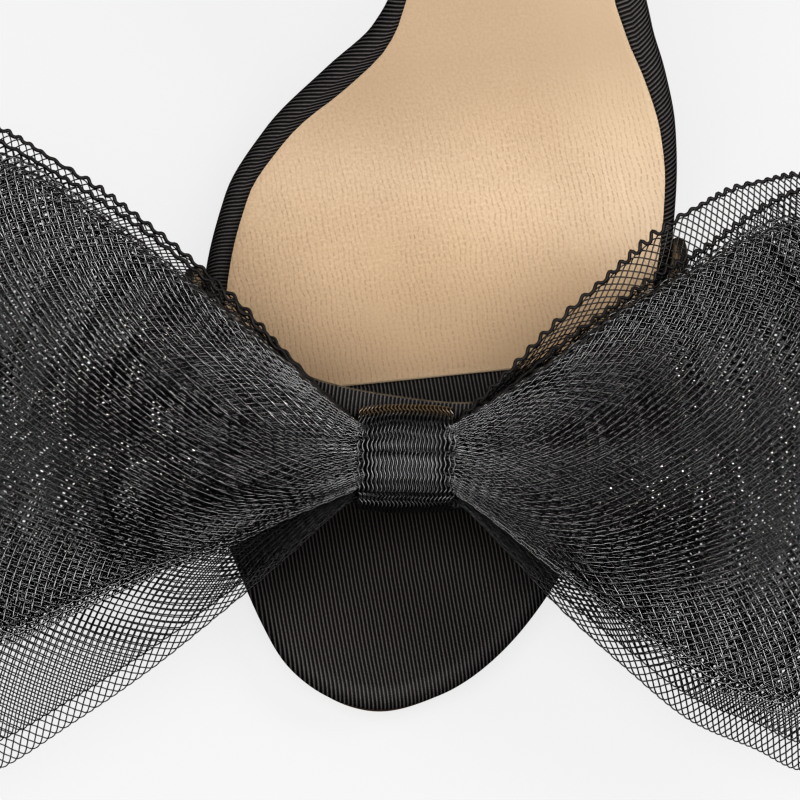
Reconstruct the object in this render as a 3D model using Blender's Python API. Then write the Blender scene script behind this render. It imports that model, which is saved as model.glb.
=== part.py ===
"""Left bow sandal on a slim heel, in metres. +Z is up, the toe points to -Y and the big toe side to -X.

The origin is on the floor under the ball of the foot. The sole pieces share one run of stations
along the sole: s is the distance from the toe along its middle surface, x the distance across it
and n the height above that surface. The strap lies on a last worked out from the same stations,
and the bow has a frame of its own on top of the strap.
"""

import bisect
import math

import bmesh
import bpy
import numpy as np
from mathutils import Vector

MM = 0.001

# Driving sizes, in millimetres and degrees
GAP = 0.3
TOE_Y = -54.9
OUTSOLE_THICKNESS = 2.0
FOOTBED_THICKNESS = 5.3
SOCK_THICKNESS = 0.7
STRAP_THICKNESS = 1.8
STATION_COUNT = 44
BREAST_STATION = 31
SOLE_LENGTH = 236.0
PROFILE_STEP = 0.25
EDGE_RADIUS = FOOTBED_THICKNESS / 2
OUTSOLE_INSET = 2.2
OUTSOLE_CHAMFER = 0.6
SOCK_INSET_MEDIAL = 1.3
SOCK_INSET_LATERAL = 0.0
SOCK_FRONT = 62.4
SOCK_FRONT_SLANT = 0.288
SOCK_FIRST_FULL_STATION = 80.0
SOCK_FRONT_ROWS = 3
ROUND_EDGE_STEPS = 6

# Slope of the sole along its length: level at the tread, steep at the waist, easing at the heel seat
# Columns: s, degrees
SLOPES = [
    (0, -8),
    (12, -5),
    (28, 0),
    (78, 0),
    (92, 14),
    (106, 34),
    (120, 46),
    (150, 48),
    (172, 33),
    (190, 19),
    (210, 14),
    (SOLE_LENGTH, 14),
]

# Centre of the round edge on each side of the sole
# Columns: s, medial x, lateral x
OUTLINE = [
    (3.4, 1.6, 1.6),
    (5.8, -6.9, 8.9),
    (9.5, -11.6, 13.9),
    (15.0, -15.6, 18.5),
    (21.6, -19.6, 22.4),
    (32.0, -25.2, 26.7),
    (48.0, -31.3, 31.2),
    (64.0, -34.7, 34.0),
    (81.0, -36.0, 35.2),
    (92.0, -34.5, 35.2),
    (103.5, -29.5, 34.5),
    (114.7, -21.2, 32.6),
    (123.7, -14.3, 29.9),
    (131.0, -12.0, 27.0),
    (145.0, -10.8, 23.6),
    (165.0, -13.2, 24.6),
    (188.0, -18.0, 27.4),
    (207.0, -19.6, 28.3),
    (221.0, -16.0, 25.0),
    (228.0, -9.6, 18.8),
    (231.5, 4.6, 4.6),
]

# The last under the strap: crown height over the sole, and the fullness of its section
CROWN_AT_KNOT = 21.0
CROWN_RISE = 0.39
KNOT_STATION = 34.9
SECTION_WIDTH_POWER = 0.6
SECTION_HEIGHT_POWER = 0.8
STRAP_TUCK_DEGREES = 50
STRAP_TUCK_STEPS = 3
STRAP_ARCH_STEPS = 32
STRAP_WIDTH_STEPS = 6

# Strap edges: station of each edge at the crown, and how far it sweeps back to each side
# Columns: crown s, lateral sweep, medial sweep, sweep power
STRAP_FRONT_EDGE = (28.6, 31.5, 17.0, 1.5)
STRAP_BACK_EDGE = (46.0, 50.5, 33.0, 1.8)
STRAP_BULGE_LATERAL = 7.3
STRAP_BULGE_MEDIAL = 4.0
STRAP_BULGE_POWER = 6

# Heel: taper runs from the seat outline to the tip outline, and set moves the middle over the tip
# Columns: drop, taper, set
HEEL_LEVELS = [
    (0.0, 0.0, 0.0),
    (0.04, 0.1, 0.08),
    (0.1, 0.28, 0.28),
    (0.2, 0.52, 0.56),
    (0.32, 0.7, 0.76),
    (0.5, 0.84, 0.92),
    (0.75, 0.95, 1.0),
    (1.0, 1.0, 1.0),
]
HEEL_TIP_X = 4.4
HEEL_TIP_Y = 141.0
HEEL_TIP_LENGTH = 11.0
HEEL_TIP_WIDTH = 10.5
HEEL_TIP_HEIGHT = 6.0
HEEL_TIP_LIP = 0.25
HEEL_TIP_CHAMFER = 0.4
HEEL_TIP_SIDES = 28

# Bow: its frame is turned with the strap and tilted up towards the heel
BOW_TURN = 9.5
BOW_TILT = 20.0
KNOT_X = 2.6
KNOT_Y = -20.2
KNOT_LIFT = 4.0
KNOT_WIDTH = 15.5
KNOT_LENGTH = 18.5
KNOT_RISE = 4.2
KNOT_STEPS = 14
KNOT_SECTIONS = 7
KNOT_WAIST = 0.06
KNOT_CREASE = 0.9
KNOT_CREASE_WIDTH = 1.6

# Loops: edges of the under layer in the bow's plane, by distance out from the knot
# Columns: reach, heelward edge, toeward edge
BACK_LEFT = [
    (0, 2.0, -2.0),
    (8, 6.4, -6.2),
    (20, 18.0, -16.5),
    (30, 28.4, -25.0),
    (42, 38.5, -35.0),
    (55, 47.6, -44.3),
    (68, 55.0, -52.7),
    (75, 57.0, -55.2),
    (80, 56.6, -55.0),
]
BACK_RIGHT = [
    (0, 2.0, -2.0),
    (8, 6.2, -6.6),
    (18, 15.5, -16.5),
    (24, 21.7, -23.0),
    (36, 32.5, -34.4),
    (48, 41.8, -44.4),
    (58, 46.0, -48.9),
    (66, 47.2, -52.6),
    (74, 46.0, -52.4),
]
FRONT_LEFT = [
    (0, 2.0, -2.0),
    (8, 6.0, -5.4),
    (20, 16.2, -10.8),
    (30, 24.6, -16.0),
    (42, 33.6, -21.0),
    (55, 43.0, -27.4),
    (66, 49.0, -32.6),
    (74, 50.0, -34.0),
]
FRONT_RIGHT = [
    (0, 2.0, -2.0),
    (8, 5.6, -6.0),
    (24, 15.5, -18.6),
    (36, 24.5, -28.6),
    (48, 32.0, -38.0),
    (58, 37.2, -43.0),
    (64, 38.6, -44.6),
    (70, 37.6, -44.4),
]
# Each loop has an under layer and an upper one, whose edges lie a share as far out
# Columns: name, side, edges, length, heights at knot, heights far out, heelward and toeward share
BACK_HEIGHTS = ((-2.4, -0.8), (-6.8, 1.0))
FRONT_HEIGHTS = ((0.8, 2.4), (3.4, 10.6))
LOOPS = [
    ("bow_loop_back_left", -1, BACK_LEFT, 95.0, *BACK_HEIGHTS, (0.95, 0.92)),
    ("bow_loop_back_right", 1, BACK_RIGHT, 88.0, *BACK_HEIGHTS, (0.83, 0.92)),
    ("bow_loop_front_left", -1, FRONT_LEFT, 88.0, *FRONT_HEIGHTS, (0.96, 0.92)),
    ("bow_loop_front_right", 1, FRONT_RIGHT, 81.0, *FRONT_HEIGHTS, (0.95, 0.94)),
]
LOOP_WALL = 0.7
LOOP_OPENS = (10.0, 64.0)
LOOP_ROUNDING = 0.17
LOOP_FOLD_STRETCH = 1.5
LOOP_EDGE_CLOSING = 0.5
LOOP_RUN_STEPS = 9
LOOP_FOLD_STEPS = 6
LOOP_WIDTH_STEPS = 14

# Sweep shared by all the loops: the ends lift, the edges dish up, and three pleats leave the knot
SWEEP_END_LIFT = 6.0
SWEEP_END_REACH = 90.0
SWEEP_DISH = 4.5
SWEEP_DISH_WIDTH = 60.0
PLEAT_SLOPE = 0.06
PLEAT_SPREAD = 28.0
PLEAT_FADES = (20.0, 58.0)

# Colours as linear values
# Columns: red, green, blue, roughness
FINISHES = {
    "black_grosgrain": (0.02, 0.017, 0.016, 0.7),
    "beige_leather": (0.68, 0.48, 0.31, 0.5),
    "sole_leather": (0.42, 0.25, 0.14, 0.55),
    "black_mesh": (0.013, 0.012, 0.012, 0.35),
    "black_rubber": (0.02, 0.02, 0.02, 0.6),
}


def smooth_through(rows):
    """Returns a curve through (place, value) rows that doesn't overshoot between them."""
    places = [float(row[0]) for row in rows]
    values = [float(row[1]) for row in rows]
    steps = np.diff(places)
    rises = np.diff(values) / steps
    slopes = [rises[0]]
    for before, after in zip(rises[:-1], rises[1:]):
        level = before * after <= 0
        slopes.append(0.0 if level else 2 * before * after / (before + after))
    slopes.append(rises[-1])

    def value_at(place):
        place = min(max(place, places[0]), places[-1])
        i = min(max(bisect.bisect_right(places, place) - 1, 0), len(steps) - 1)
        t = (place - places[i]) / steps[i]
        start = values[i] * (1 + 2 * t) * (1 - t) ** 2 + slopes[i] * steps[i] * t * (1 - t) ** 2
        end = values[i + 1] * t * t * (3 - 2 * t) - slopes[i + 1] * steps[i] * t * t * (1 - t)
        return start + end

    return value_at


def eased(value, start, end):
    t = min(max((value - start) / (end - start), 0.0), 1.0)
    return t * t * (3 - 2 * t)


# The sole's profile: s gives the slope, and adding up the slope gives y and z
slope_at = smooth_through(SLOPES)
PROFILE_S = np.arange(0, SOLE_LENGTH + PROFILE_STEP, PROFILE_STEP)
PROFILE_SLOPE = np.radians([slope_at(s) for s in PROFILE_S])
PROFILE_Y = TOE_Y + PROFILE_STEP * (np.cumsum(np.cos(PROFILE_SLOPE)) - 1)
PROFILE_Z = PROFILE_STEP * np.cumsum(np.sin(PROFILE_SLOPE))
TREAD_HEIGHT = OUTSOLE_THICKNESS + GAP + EDGE_RADIUS
PROFILE_Z += TREAD_HEIGHT - np.interp(SLOPES[2][0], PROFILE_S, PROFILE_Z)


def on_sole(s, x, n):
    """A point in metres, n millimetres above the sole's middle surface."""
    slope = np.interp(s, PROFILE_S, PROFILE_SLOPE)
    y = np.interp(s, PROFILE_S, PROFILE_Y) - n * math.sin(slope)
    z = np.interp(s, PROFILE_S, PROFILE_Z) + n * math.cos(slope)
    return Vector((x, y, z)) * MM


def station_angle(s):
    """Spreads stations evenly along the sole, and closer at its round ends."""
    first, last = OUTLINE[0][0], OUTLINE[-1][0]
    return math.acos(min(max(1 - 2 * (s - first) / (last - first), -1.0), 1.0))


def station(index):
    first, last = OUTLINE[0][0], OUTLINE[-1][0]
    return first + (last - first) * (1 - math.cos(math.pi * index / STATION_COUNT)) / 2


medial_by_angle = smooth_through([(station_angle(row[0]), row[1]) for row in OUTLINE])
lateral_by_angle = smooth_through([(station_angle(row[0]), row[2]) for row in OUTLINE])


def side_lines(inset_medial, inset_lateral):
    """The (s, x) points of both sides from toe to heel, moved in from the edge's centre."""
    stations = [station(i) for i in range(STATION_COUNT + 1)]
    medial = [(s, medial_by_angle(station_angle(s))) for s in stations]
    lateral = [(s, lateral_by_angle(station_angle(s))) for s in stations]
    ring = np.array(medial + lateral[-2:0:-1])
    along = np.roll(ring, -1, axis=0) - np.roll(ring, 1, axis=0)
    along /= np.linalg.norm(along, axis=1)[:, None]
    inward = np.stack([-along[:, 1], along[:, 0]], axis=1)
    middle = ring.mean(axis=0)
    heel_end = STATION_COUNT
    if np.dot(inward[heel_end], middle - ring[heel_end]) < 0:
        inward = -inward
    inset = np.full(len(ring), float(inset_lateral))
    inset[: heel_end + 1] = inset_medial
    moved = ring + inward * inset[:, None]
    medial = [tuple(moved[i]) for i in range(heel_end + 1)]
    lateral = [tuple(moved[0])] + [tuple(moved[-i]) for i in range(1, heel_end)]
    return medial, lateral + [medial[-1]]


def ring_places(rows):
    """Puts rows of (medial, lateral) in order round the piece. A row with both the same is a tip."""
    ring, left, right = [], [], []
    for medial, _ in rows:
        left.append(len(ring))
        ring.append(medial)
    for medial, lateral in reversed(rows):
        if medial == lateral:
            right.append(left[rows.index((medial, lateral))])
        else:
            right.append(len(ring))
            ring.append(lateral)
    return ring, left, right[::-1]


def mesh_object(name, bm, finish):
    bmesh.ops.recalc_face_normals(bm, faces=bm.faces)
    mesh = bpy.data.meshes.new(name)
    bm.to_mesh(mesh)
    bm.free()
    mesh.shade_smooth()
    mesh.set_sharp_from_angle(angle=math.radians(40))
    mesh.materials.append(material(finish))
    obj = bpy.data.objects.new(name, mesh)
    bpy.context.scene.collection.objects.link(obj)
    obj.parent = bpy.data.objects["sandal"]
    return obj


def material(finish):
    if finish in bpy.data.materials:
        return bpy.data.materials[finish]
    red, green, blue, roughness = FINISHES[finish]
    made = bpy.data.materials.new(finish)
    made.use_nodes = True
    shader = made.node_tree.nodes["Principled BSDF"]
    shader.inputs["Base Color"].default_value = (red, green, blue, 1)
    shader.inputs["Roughness"].default_value = roughness
    shader.inputs["Metallic"].default_value = 0
    return made


def add_face(bm, corners):
    distinct = list(dict.fromkeys(corners))
    if len(distinct) > 2:
        bm.faces.new(distinct)


def stacked_solid(name, rings, left, right, finish):
    """Joins rings from top to bottom, and closes both ends with rungs from left to right."""
    bm = bmesh.new()
    layers = [[bm.verts.new(point) for point in ring] for ring in rings]
    for upper, lower in zip(layers[:-1], layers[1:]):
        for i in range(len(upper)):
            j = (i + 1) % len(upper)
            add_face(bm, (upper[i], upper[j], lower[j], lower[i]))
    for layer in (layers[0], layers[-1]):
        for i in range(len(left) - 1):
            add_face(bm, (layer[left[i]], layer[left[i + 1]], layer[right[i + 1]], layer[right[i]]))
    return mesh_object(name, bm, finish)


def make_footbed():
    rings = []
    for step in range(ROUND_EDGE_STEPS + 1):
        turn = math.radians(90 - 180 * step / ROUND_EDGE_STEPS)
        out = EDGE_RADIUS * math.cos(turn)
        ring, left, right = ring_places(list(zip(*side_lines(-out, -out))))
        rings.append([on_sole(s, x, EDGE_RADIUS * math.sin(turn)) for s, x in ring])
    stacked_solid("footbed", rings, left, right, "black_grosgrain")


def make_outsole():
    top = -EDGE_RADIUS - GAP
    bottom = top - OUTSOLE_THICKNESS
    rings = []
    for inset, height in (
        (0.0, top),
        (0.0, bottom + OUTSOLE_CHAMFER),
        (OUTSOLE_CHAMFER, bottom),
    ):
        edge = OUTSOLE_INSET - EDGE_RADIUS + inset
        rows = list(zip(*side_lines(edge, edge)))[: BREAST_STATION + 1]
        ring, left, right = ring_places(rows)
        rings.append([on_sole(s, x, height) for s, x in ring])
    stacked_solid("outsole", rings, left, right, "sole_leather")


def make_sock():
    medial, lateral = side_lines(SOCK_INSET_MEDIAL, SOCK_INSET_LATERAL)
    rows = [row for row in zip(medial, lateral) if row[0][0] > SOCK_FIRST_FULL_STATION]
    full = rows[0][0][0]
    front_rows = []
    for i in range(SOCK_FRONT_ROWS):
        share = i / SOCK_FRONT_ROWS
        row = []
        for line in (medial, lateral):
            places = [s for s, _ in line]
            sides = [x for _, x in line]
            s = SOCK_FRONT
            for _ in range(SOCK_FRONT_ROWS):
                s = SOCK_FRONT + SOCK_FRONT_SLANT * np.interp(s, places, sides)
            s += share * (full - s)
            row.append((s, np.interp(s, places, sides)))
        front_rows.append(tuple(row))
    ring, left, right = ring_places(front_rows + rows)
    low = EDGE_RADIUS + GAP
    rings = [[on_sole(s, x, n) for s, x in ring] for n in (low + SOCK_THICKNESS, low)]
    stacked_solid("sock", rings, left, right, "beige_leather")


def crown_height(s):
    """How high the strap's lining stands over the sole's middle surface at its crown."""
    return CROWN_AT_KNOT + CROWN_RISE * (s - KNOT_STATION)


def strap_edge(columns, turn):
    """Station of a strap edge at a turn from 0 at the lateral side to 180 at the medial side."""
    crown, lateral_sweep, medial_sweep, power = columns
    from_side = min(turn, 180 - turn) / 90
    sweep = lateral_sweep if turn < 90 else medial_sweep
    return crown + sweep * (1 - from_side) ** power


def on_last(turn, s):
    """A point of the last's surface: turn runs round the section from lateral 0 to medial 180."""
    angle = station_angle(s)
    lateral = turn < 90
    edge = lateral_by_angle(angle) if lateral else medial_by_angle(angle)
    other = medial_by_angle(angle) if lateral else lateral_by_angle(angle)
    middle = (edge + other) / 2
    half = abs(edge - middle) + EDGE_RADIUS + GAP
    low = math.radians(min(turn, 180 - turn))
    bulge = STRAP_BULGE_LATERAL if lateral else STRAP_BULGE_MEDIAL
    out = half * math.cos(low) ** SECTION_WIDTH_POWER
    out += bulge * math.sin(2 * low) * math.cos(low) ** STRAP_BULGE_POWER
    height = crown_height(s) * math.sin(low) ** SECTION_HEIGHT_POWER
    return on_sole(s, middle + (out if lateral else -out), 0) + Vector((0, 0, height)) * MM


def on_tuck(lateral, turn, s):
    """A point under the sole's round edge, turn degrees below its widest line."""
    edge = (lateral_by_angle if lateral else medial_by_angle)(station_angle(s))
    radius = EDGE_RADIUS + GAP
    out = radius * math.cos(math.radians(turn))
    return on_sole(s, edge + (out if lateral else -out), -radius * math.sin(math.radians(turn)))


def strap_row(edge_share):
    """Points across the strap from the lateral tuck to the medial one, between front 0 and back 1."""
    def place(turn):
        front = strap_edge(STRAP_FRONT_EDGE, turn)
        return front + edge_share * (strap_edge(STRAP_BACK_EDGE, turn) - front)

    tucks = [STRAP_TUCK_DEGREES * i / STRAP_TUCK_STEPS for i in range(STRAP_TUCK_STEPS, 0, -1)]
    row = [on_tuck(True, tuck, place(0)) for tuck in tucks]
    for i in range(STRAP_ARCH_STEPS + 1):
        turn = 180 * i / STRAP_ARCH_STEPS
        row.append(on_last(turn, place(turn)))
    return row + [on_tuck(False, tuck, place(180)) for tuck in reversed(tucks)]


def make_sheet(name, rows, thickness, offset, finish):
    """A wall of even thickness over a grid of points. The rows run so that its faces point out."""
    bm = bmesh.new()
    grid = [[bm.verts.new(point) for point in row] for row in rows]
    for first, second in zip(grid[:-1], grid[1:]):
        for i in range(len(first) - 1):
            bm.faces.new((first[i], first[i + 1], second[i + 1], second[i]))
    mesh = bpy.data.meshes.new(name)
    bm.to_mesh(mesh)
    bm.free()
    mesh.shade_smooth()
    mesh.materials.append(material(finish))
    obj = bpy.data.objects.new(name, mesh)
    bpy.context.scene.collection.objects.link(obj)
    obj.parent = bpy.data.objects["sandal"]
    wall = obj.modifiers.new("Wall", "SOLIDIFY")
    wall.thickness = thickness * MM
    wall.offset = offset
    wall.use_even_offset = True
    return obj


def make_toe_strap():
    rows = [strap_row(i / STRAP_WIDTH_STEPS) for i in range(STRAP_WIDTH_STEPS + 1)]
    make_sheet("toe_strap", rows[::-1], STRAP_THICKNESS, 1.0, "black_grosgrain")


def make_heel():
    edge = OUTSOLE_INSET - EDGE_RADIUS
    rows = list(zip(*side_lines(edge, edge)))[BREAST_STATION:]
    behind_breast = rows[0][0][0] + GAP
    rows[0] = tuple((behind_breast, x) for _, x in rows[0])
    ring, left, right = ring_places(rows)
    seat = [on_sole(s, x, -EDGE_RADIUS - GAP) for s, x in ring]
    seat_middle = sum(seat, Vector()) / len(seat)
    tip_middle = Vector((HEEL_TIP_X, HEEL_TIP_Y, HEEL_TIP_HEIGHT + GAP)) * MM
    tip = []
    for point in seat:
        round_heel = math.atan2(point.x - seat_middle.x, point.y - seat_middle.y)
        across = HEEL_TIP_WIDTH / 2 * math.sin(round_heel)
        along = HEEL_TIP_LENGTH / 2 * math.cos(round_heel)
        tip.append(tip_middle + Vector((across, along, 0)) * MM)
    rings = []
    for drop, taper, set_back in HEEL_LEVELS:
        middle = seat_middle.lerp(tip_middle, set_back)
        ring = []
        for top, low in zip(seat, tip):
            point = middle + (top - seat_middle).lerp(low - tip_middle, taper)
            point.z = top.z + drop * (low.z - top.z)
            ring.append(point)
        rings.append(ring)
    stacked_solid("heel", rings, left, right, "black_grosgrain")


def make_heel_tip():
    bm = bmesh.new()
    bmesh.ops.create_cone(
        bm,
        cap_ends=True,
        segments=HEEL_TIP_SIDES,
        radius1=0.5,
        radius2=0.5,
        depth=HEEL_TIP_HEIGHT * MM,
    )
    size = (HEEL_TIP_WIDTH + 2 * HEEL_TIP_LIP, HEEL_TIP_LENGTH + 2 * HEEL_TIP_LIP)
    bmesh.ops.scale(bm, vec=(size[0] * MM, size[1] * MM, 1), verts=bm.verts)
    middle = Vector((HEEL_TIP_X, HEEL_TIP_Y, HEEL_TIP_HEIGHT / 2)) * MM
    bmesh.ops.translate(bm, vec=middle, verts=bm.verts)
    rim = [edge for edge in bm.edges if edge.verts[0].co.z == edge.verts[1].co.z]
    bmesh.ops.bevel(
        bm,
        geom=rim,
        offset=HEEL_TIP_CHAMFER * MM,
        segments=1,
        affect="EDGES",
        profile=0.5,
        material=-1,
    )
    mesh_object("heel_tip", bm, "black_rubber")


def last_height(x, y):
    """Height of the strap's lining over the floor near its crown, in millimetres."""
    s = float(np.interp(y, PROFILE_Y, PROFILE_S))
    angle = station_angle(s)
    medial, lateral = medial_by_angle(angle), lateral_by_angle(angle)
    middle = (medial + lateral) / 2
    half = (lateral - medial) / 2 + EDGE_RADIUS + GAP
    low = math.acos(min((abs(x - middle) / half), 1.0) ** (1 / SECTION_WIDTH_POWER))
    base = float(np.interp(s, PROFILE_S, PROFILE_Z))
    return base + crown_height(s) * math.sin(low) ** SECTION_HEIGHT_POWER


def strap_top(x, y):
    steepness = math.cos(math.atan(CROWN_RISE))
    return last_height(x, y) + STRAP_THICKNESS / steepness


BOW_RIGHT = Vector((math.cos(math.radians(BOW_TURN)), math.sin(math.radians(BOW_TURN)), 0))
BOW_REAR = Vector((-BOW_RIGHT.y, BOW_RIGHT.x, 0))
TILT = math.radians(BOW_TILT)
BOW_HEELWARD = BOW_REAR * math.cos(TILT) + Vector((0, 0, math.sin(TILT)))
BOW_UP = Vector((0, 0, math.cos(TILT))) - BOW_REAR * math.sin(TILT)
KNOT = Vector((KNOT_X, KNOT_Y, strap_top(KNOT_X, KNOT_Y) + KNOT_LIFT / math.cos(TILT)))


def on_bow(right, heelward, up):
    return (KNOT + BOW_RIGHT * right + BOW_HEELWARD * heelward + BOW_UP * up) * MM


def under_knot(right, heelward):
    """How far below the knot's middle the strap lies, with the usual gap."""
    at = KNOT + BOW_RIGHT * right + BOW_HEELWARD * heelward - BOW_UP * KNOT_LIFT
    return -KNOT_LIFT + (strap_top(at.x, at.y) - at.z) * math.cos(TILT) + GAP


def knot_top(share):
    """Height of the knot's back from its heelward end 0 to its toeward end 1, with one crease."""
    round_top = math.sin(math.pi * share) ** 0.5
    crease = math.exp(-(((share - 0.45) * KNOT_LENGTH / KNOT_CREASE_WIDTH) ** 2))
    return KNOT_RISE * round_top - KNOT_CREASE * crease


def make_bow_knot():
    sections = []
    for i in range(KNOT_SECTIONS):
        across = 2 * i / (KNOT_SECTIONS - 1) - 1
        right = across * KNOT_WIDTH / 2
        fullness = 1 - KNOT_WAIST * across * across
        top, bottom = [], []
        for j in range(KNOT_STEPS + 1):
            share = j / KNOT_STEPS
            heelward = KNOT_LENGTH * fullness * (0.5 - share)
            floor = under_knot(right, heelward)
            rise = max(knot_top(share) * fullness, floor + GAP)
            top.append(on_bow(right, heelward, rise))
            bottom.append(on_bow(right, heelward, floor))
        sections.append(top + bottom[::-1])
    rungs = list(range(KNOT_STEPS + 1))
    facing = [len(sections[0]) - 1 - i for i in rungs]
    stacked_solid("bow_knot", sections, rungs, facing, "black_mesh")


def loop_path(length, at_knot, far_out):
    """Steps along a loop: (reach, height, layer), out on the under layer and back on the upper one."""
    start = KNOT_WIDTH / 2 + GAP
    middle = (far_out[0] + far_out[1]) / 2
    radius = (far_out[1] - far_out[0]) / 2
    fold_start = length - radius * LOOP_FOLD_STRETCH
    path = []
    for layer in (0, 1):
        run = []
        for i in range(LOOP_RUN_STEPS + 1):
            reach = start + (fold_start - start) * i / LOOP_RUN_STEPS
            opened = eased(reach, *LOOP_OPENS)
            height = at_knot[layer] + opened * (far_out[layer] - at_knot[layer])
            run.append((reach, height, float(layer)))
        path.append(run)
    fold = []
    for i in range(1, LOOP_FOLD_STEPS):
        turn = math.pi * i / LOOP_FOLD_STEPS
        reach = fold_start + radius * LOOP_FOLD_STRETCH * math.sin(turn)
        fold.append((reach, middle - radius * math.cos(turn), i / LOOP_FOLD_STEPS))
    return path[0] + fold + path[1][::-1]


def bow_sweep(out, heelward):
    """How far every layer of the bow is lifted off its plane at a place in that plane."""
    reach = math.hypot(out, heelward)
    angle = math.degrees(math.atan2(heelward, out))
    pleat = PLEAT_SLOPE * reach * (1 - eased(reach, *PLEAT_FADES))
    lift = SWEEP_END_LIFT * (out / SWEEP_END_REACH) ** 2
    dish = SWEEP_DISH * (heelward / SWEEP_DISH_WIDTH) ** 2
    return lift + dish + pleat * math.cos(2 * math.pi * angle / PLEAT_SPREAD)


def make_loop(name, side, edges, length, at_knot, far_out, upper_share):
    heelward_edge = smooth_through([(row[0], row[1]) for row in edges])
    toeward_edge = smooth_through([(row[0], row[2]) for row in edges])
    rows = []
    middle = (far_out[0] + far_out[1]) / 2
    for reach, height, layer in loop_path(length, at_knot, far_out):
        closing = LOOP_EDGE_CLOSING * eased(reach, *LOOP_OPENS)
        edge_reach = reach * (1 - LOOP_ROUNDING)
        high = heelward_edge(edge_reach) * (1 + (upper_share[0] - 1) * layer)
        low = toeward_edge(edge_reach) * (1 + (upper_share[1] - 1) * layer)
        row = []
        for j in range(LOOP_WIDTH_STEPS + 1):
            across = 2 * j / LOOP_WIDTH_STEPS - 1
            out = max(reach * (1 - LOOP_ROUNDING * across * across), KNOT_WIDTH / 2 + GAP)
            heelward = low + (high - low) * j / LOOP_WIDTH_STEPS
            up = height + closing * across * across * (middle - height)
            row.append(on_bow(side * out, heelward, up + bow_sweep(out, heelward)))
        rows.append(row)
    if side < 0:
        rows.reverse()
    make_sheet(name, rows, LOOP_WALL, 0.0, "black_mesh")


def clear_scene():
    for obj in list(bpy.data.objects):
        bpy.data.objects.remove(obj, do_unlink=True)


def main():
    clear_scene()
    rig = bpy.data.objects.new("sandal", None)
    bpy.context.scene.collection.objects.link(rig)
    make_outsole()
    make_footbed()
    make_sock()
    make_toe_strap()
    make_heel()
    make_heel_tip()
    make_bow_knot()
    for loop in LOOPS:
        make_loop(*loop)


main()
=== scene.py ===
import math

import bmesh
import bpy
import numpy as np
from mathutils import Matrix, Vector


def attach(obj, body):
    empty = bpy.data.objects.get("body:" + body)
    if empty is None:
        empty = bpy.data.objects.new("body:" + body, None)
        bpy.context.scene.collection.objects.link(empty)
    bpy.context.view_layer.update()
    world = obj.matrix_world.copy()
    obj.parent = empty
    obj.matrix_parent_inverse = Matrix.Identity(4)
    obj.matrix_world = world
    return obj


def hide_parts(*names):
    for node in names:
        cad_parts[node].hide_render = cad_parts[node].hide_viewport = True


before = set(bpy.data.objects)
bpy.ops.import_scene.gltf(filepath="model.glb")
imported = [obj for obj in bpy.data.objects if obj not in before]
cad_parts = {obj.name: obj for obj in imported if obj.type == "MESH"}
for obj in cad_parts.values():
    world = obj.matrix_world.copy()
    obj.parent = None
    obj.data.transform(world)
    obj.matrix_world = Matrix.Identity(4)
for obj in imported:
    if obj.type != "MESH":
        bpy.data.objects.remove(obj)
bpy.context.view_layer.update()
mm = 0.001
turnRound = 2 * math.pi
print("frame loaded:", len(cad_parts), "nodes")


# Camera, floor and lights

photo = dict(
    azimuth=9.5,  # degrees, as the object is seen in the photo
    elevation=62.0,
    frameWidth=133.33,  # mm that the frame takes in
    rightOfMiddle=-1.667,  # mm from the origin to the frame's middle
    aboveMiddle=6.667,
    depth=20.0,  # mm towards the camera
    distance=5000.0,
    sensor=36.0,
    seesTo=50.0,  # metres
)
studio = dict(
    floorGlow=0.485,
    floorColour=(0.05, 0.05, 0.05),
    floorSize=8.0,
    worldColour=(1.0, 1.0, 1.0),
    worldStrength=0.03,
    viewTransform="Standard",
    look="Very High Contrast",  # deep blacks, so the leathers are set darker than they are
)
# place and aim in metres, size across, power in watts
lamps = {
    "topSoftbox": dict(place=(-0.04, -0.5, 1.08), aim=(0.0, 0.0, 0.02), size=(1.5, 0.8), power=17.5),
    "rightSoftbox": dict(place=(0.42, 0.15, 0.42), aim=(0.0, 0.02, 0.0), size=(0.3, 0.3), power=2.1),
    "leftStrip": dict(place=(-0.6, 0.0, 0.45), aim=(0.0, 0.0, 0.02), size=(0.1, 0.6), power=0.8),
    "rearStrip": dict(place=(-0.15, 0.95, 0.4), aim=(0.0, 0.05, 0.04), size=(0.9, 0.25), power=0.9),
    "toeStrip": dict(place=(0.0, -0.9, 0.32), aim=(0.0, -0.02, 0.03), size=(0.8, 0.14), power=2.2),
}


def viewAxes(azimuth, elevation):
    a, e = math.radians(azimuth), math.radians(elevation)
    back = Vector((math.sin(a) * math.cos(e), -math.cos(a) * math.cos(e), math.sin(e)))
    right = Vector((math.cos(a), math.sin(a), 0))
    return right, back.cross(right), back


def addObject(name, data):
    made = bpy.data.objects.new(name, data)
    bpy.context.scene.collection.objects.link(made)
    return made


def makeCamera():
    right, up, back = viewAxes(photo["azimuth"], photo["elevation"])
    target = right * photo["rightOfMiddle"] + up * photo["aboveMiddle"] + back * photo["depth"]
    data = bpy.data.cameras.new("camera")
    data.sensor_width = photo["sensor"]
    data.lens = data.sensor_width * photo["distance"] / photo["frameWidth"]
    data.clip_end = photo["seesTo"]
    camera = addObject("camera", data)
    camera.rotation_mode = "QUATERNION"
    camera.location = (target + back * photo["distance"]) * mm
    camera.rotation_quaternion = (-back).to_track_quat("-Z", "Y")
    bpy.context.scene.camera = camera


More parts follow.
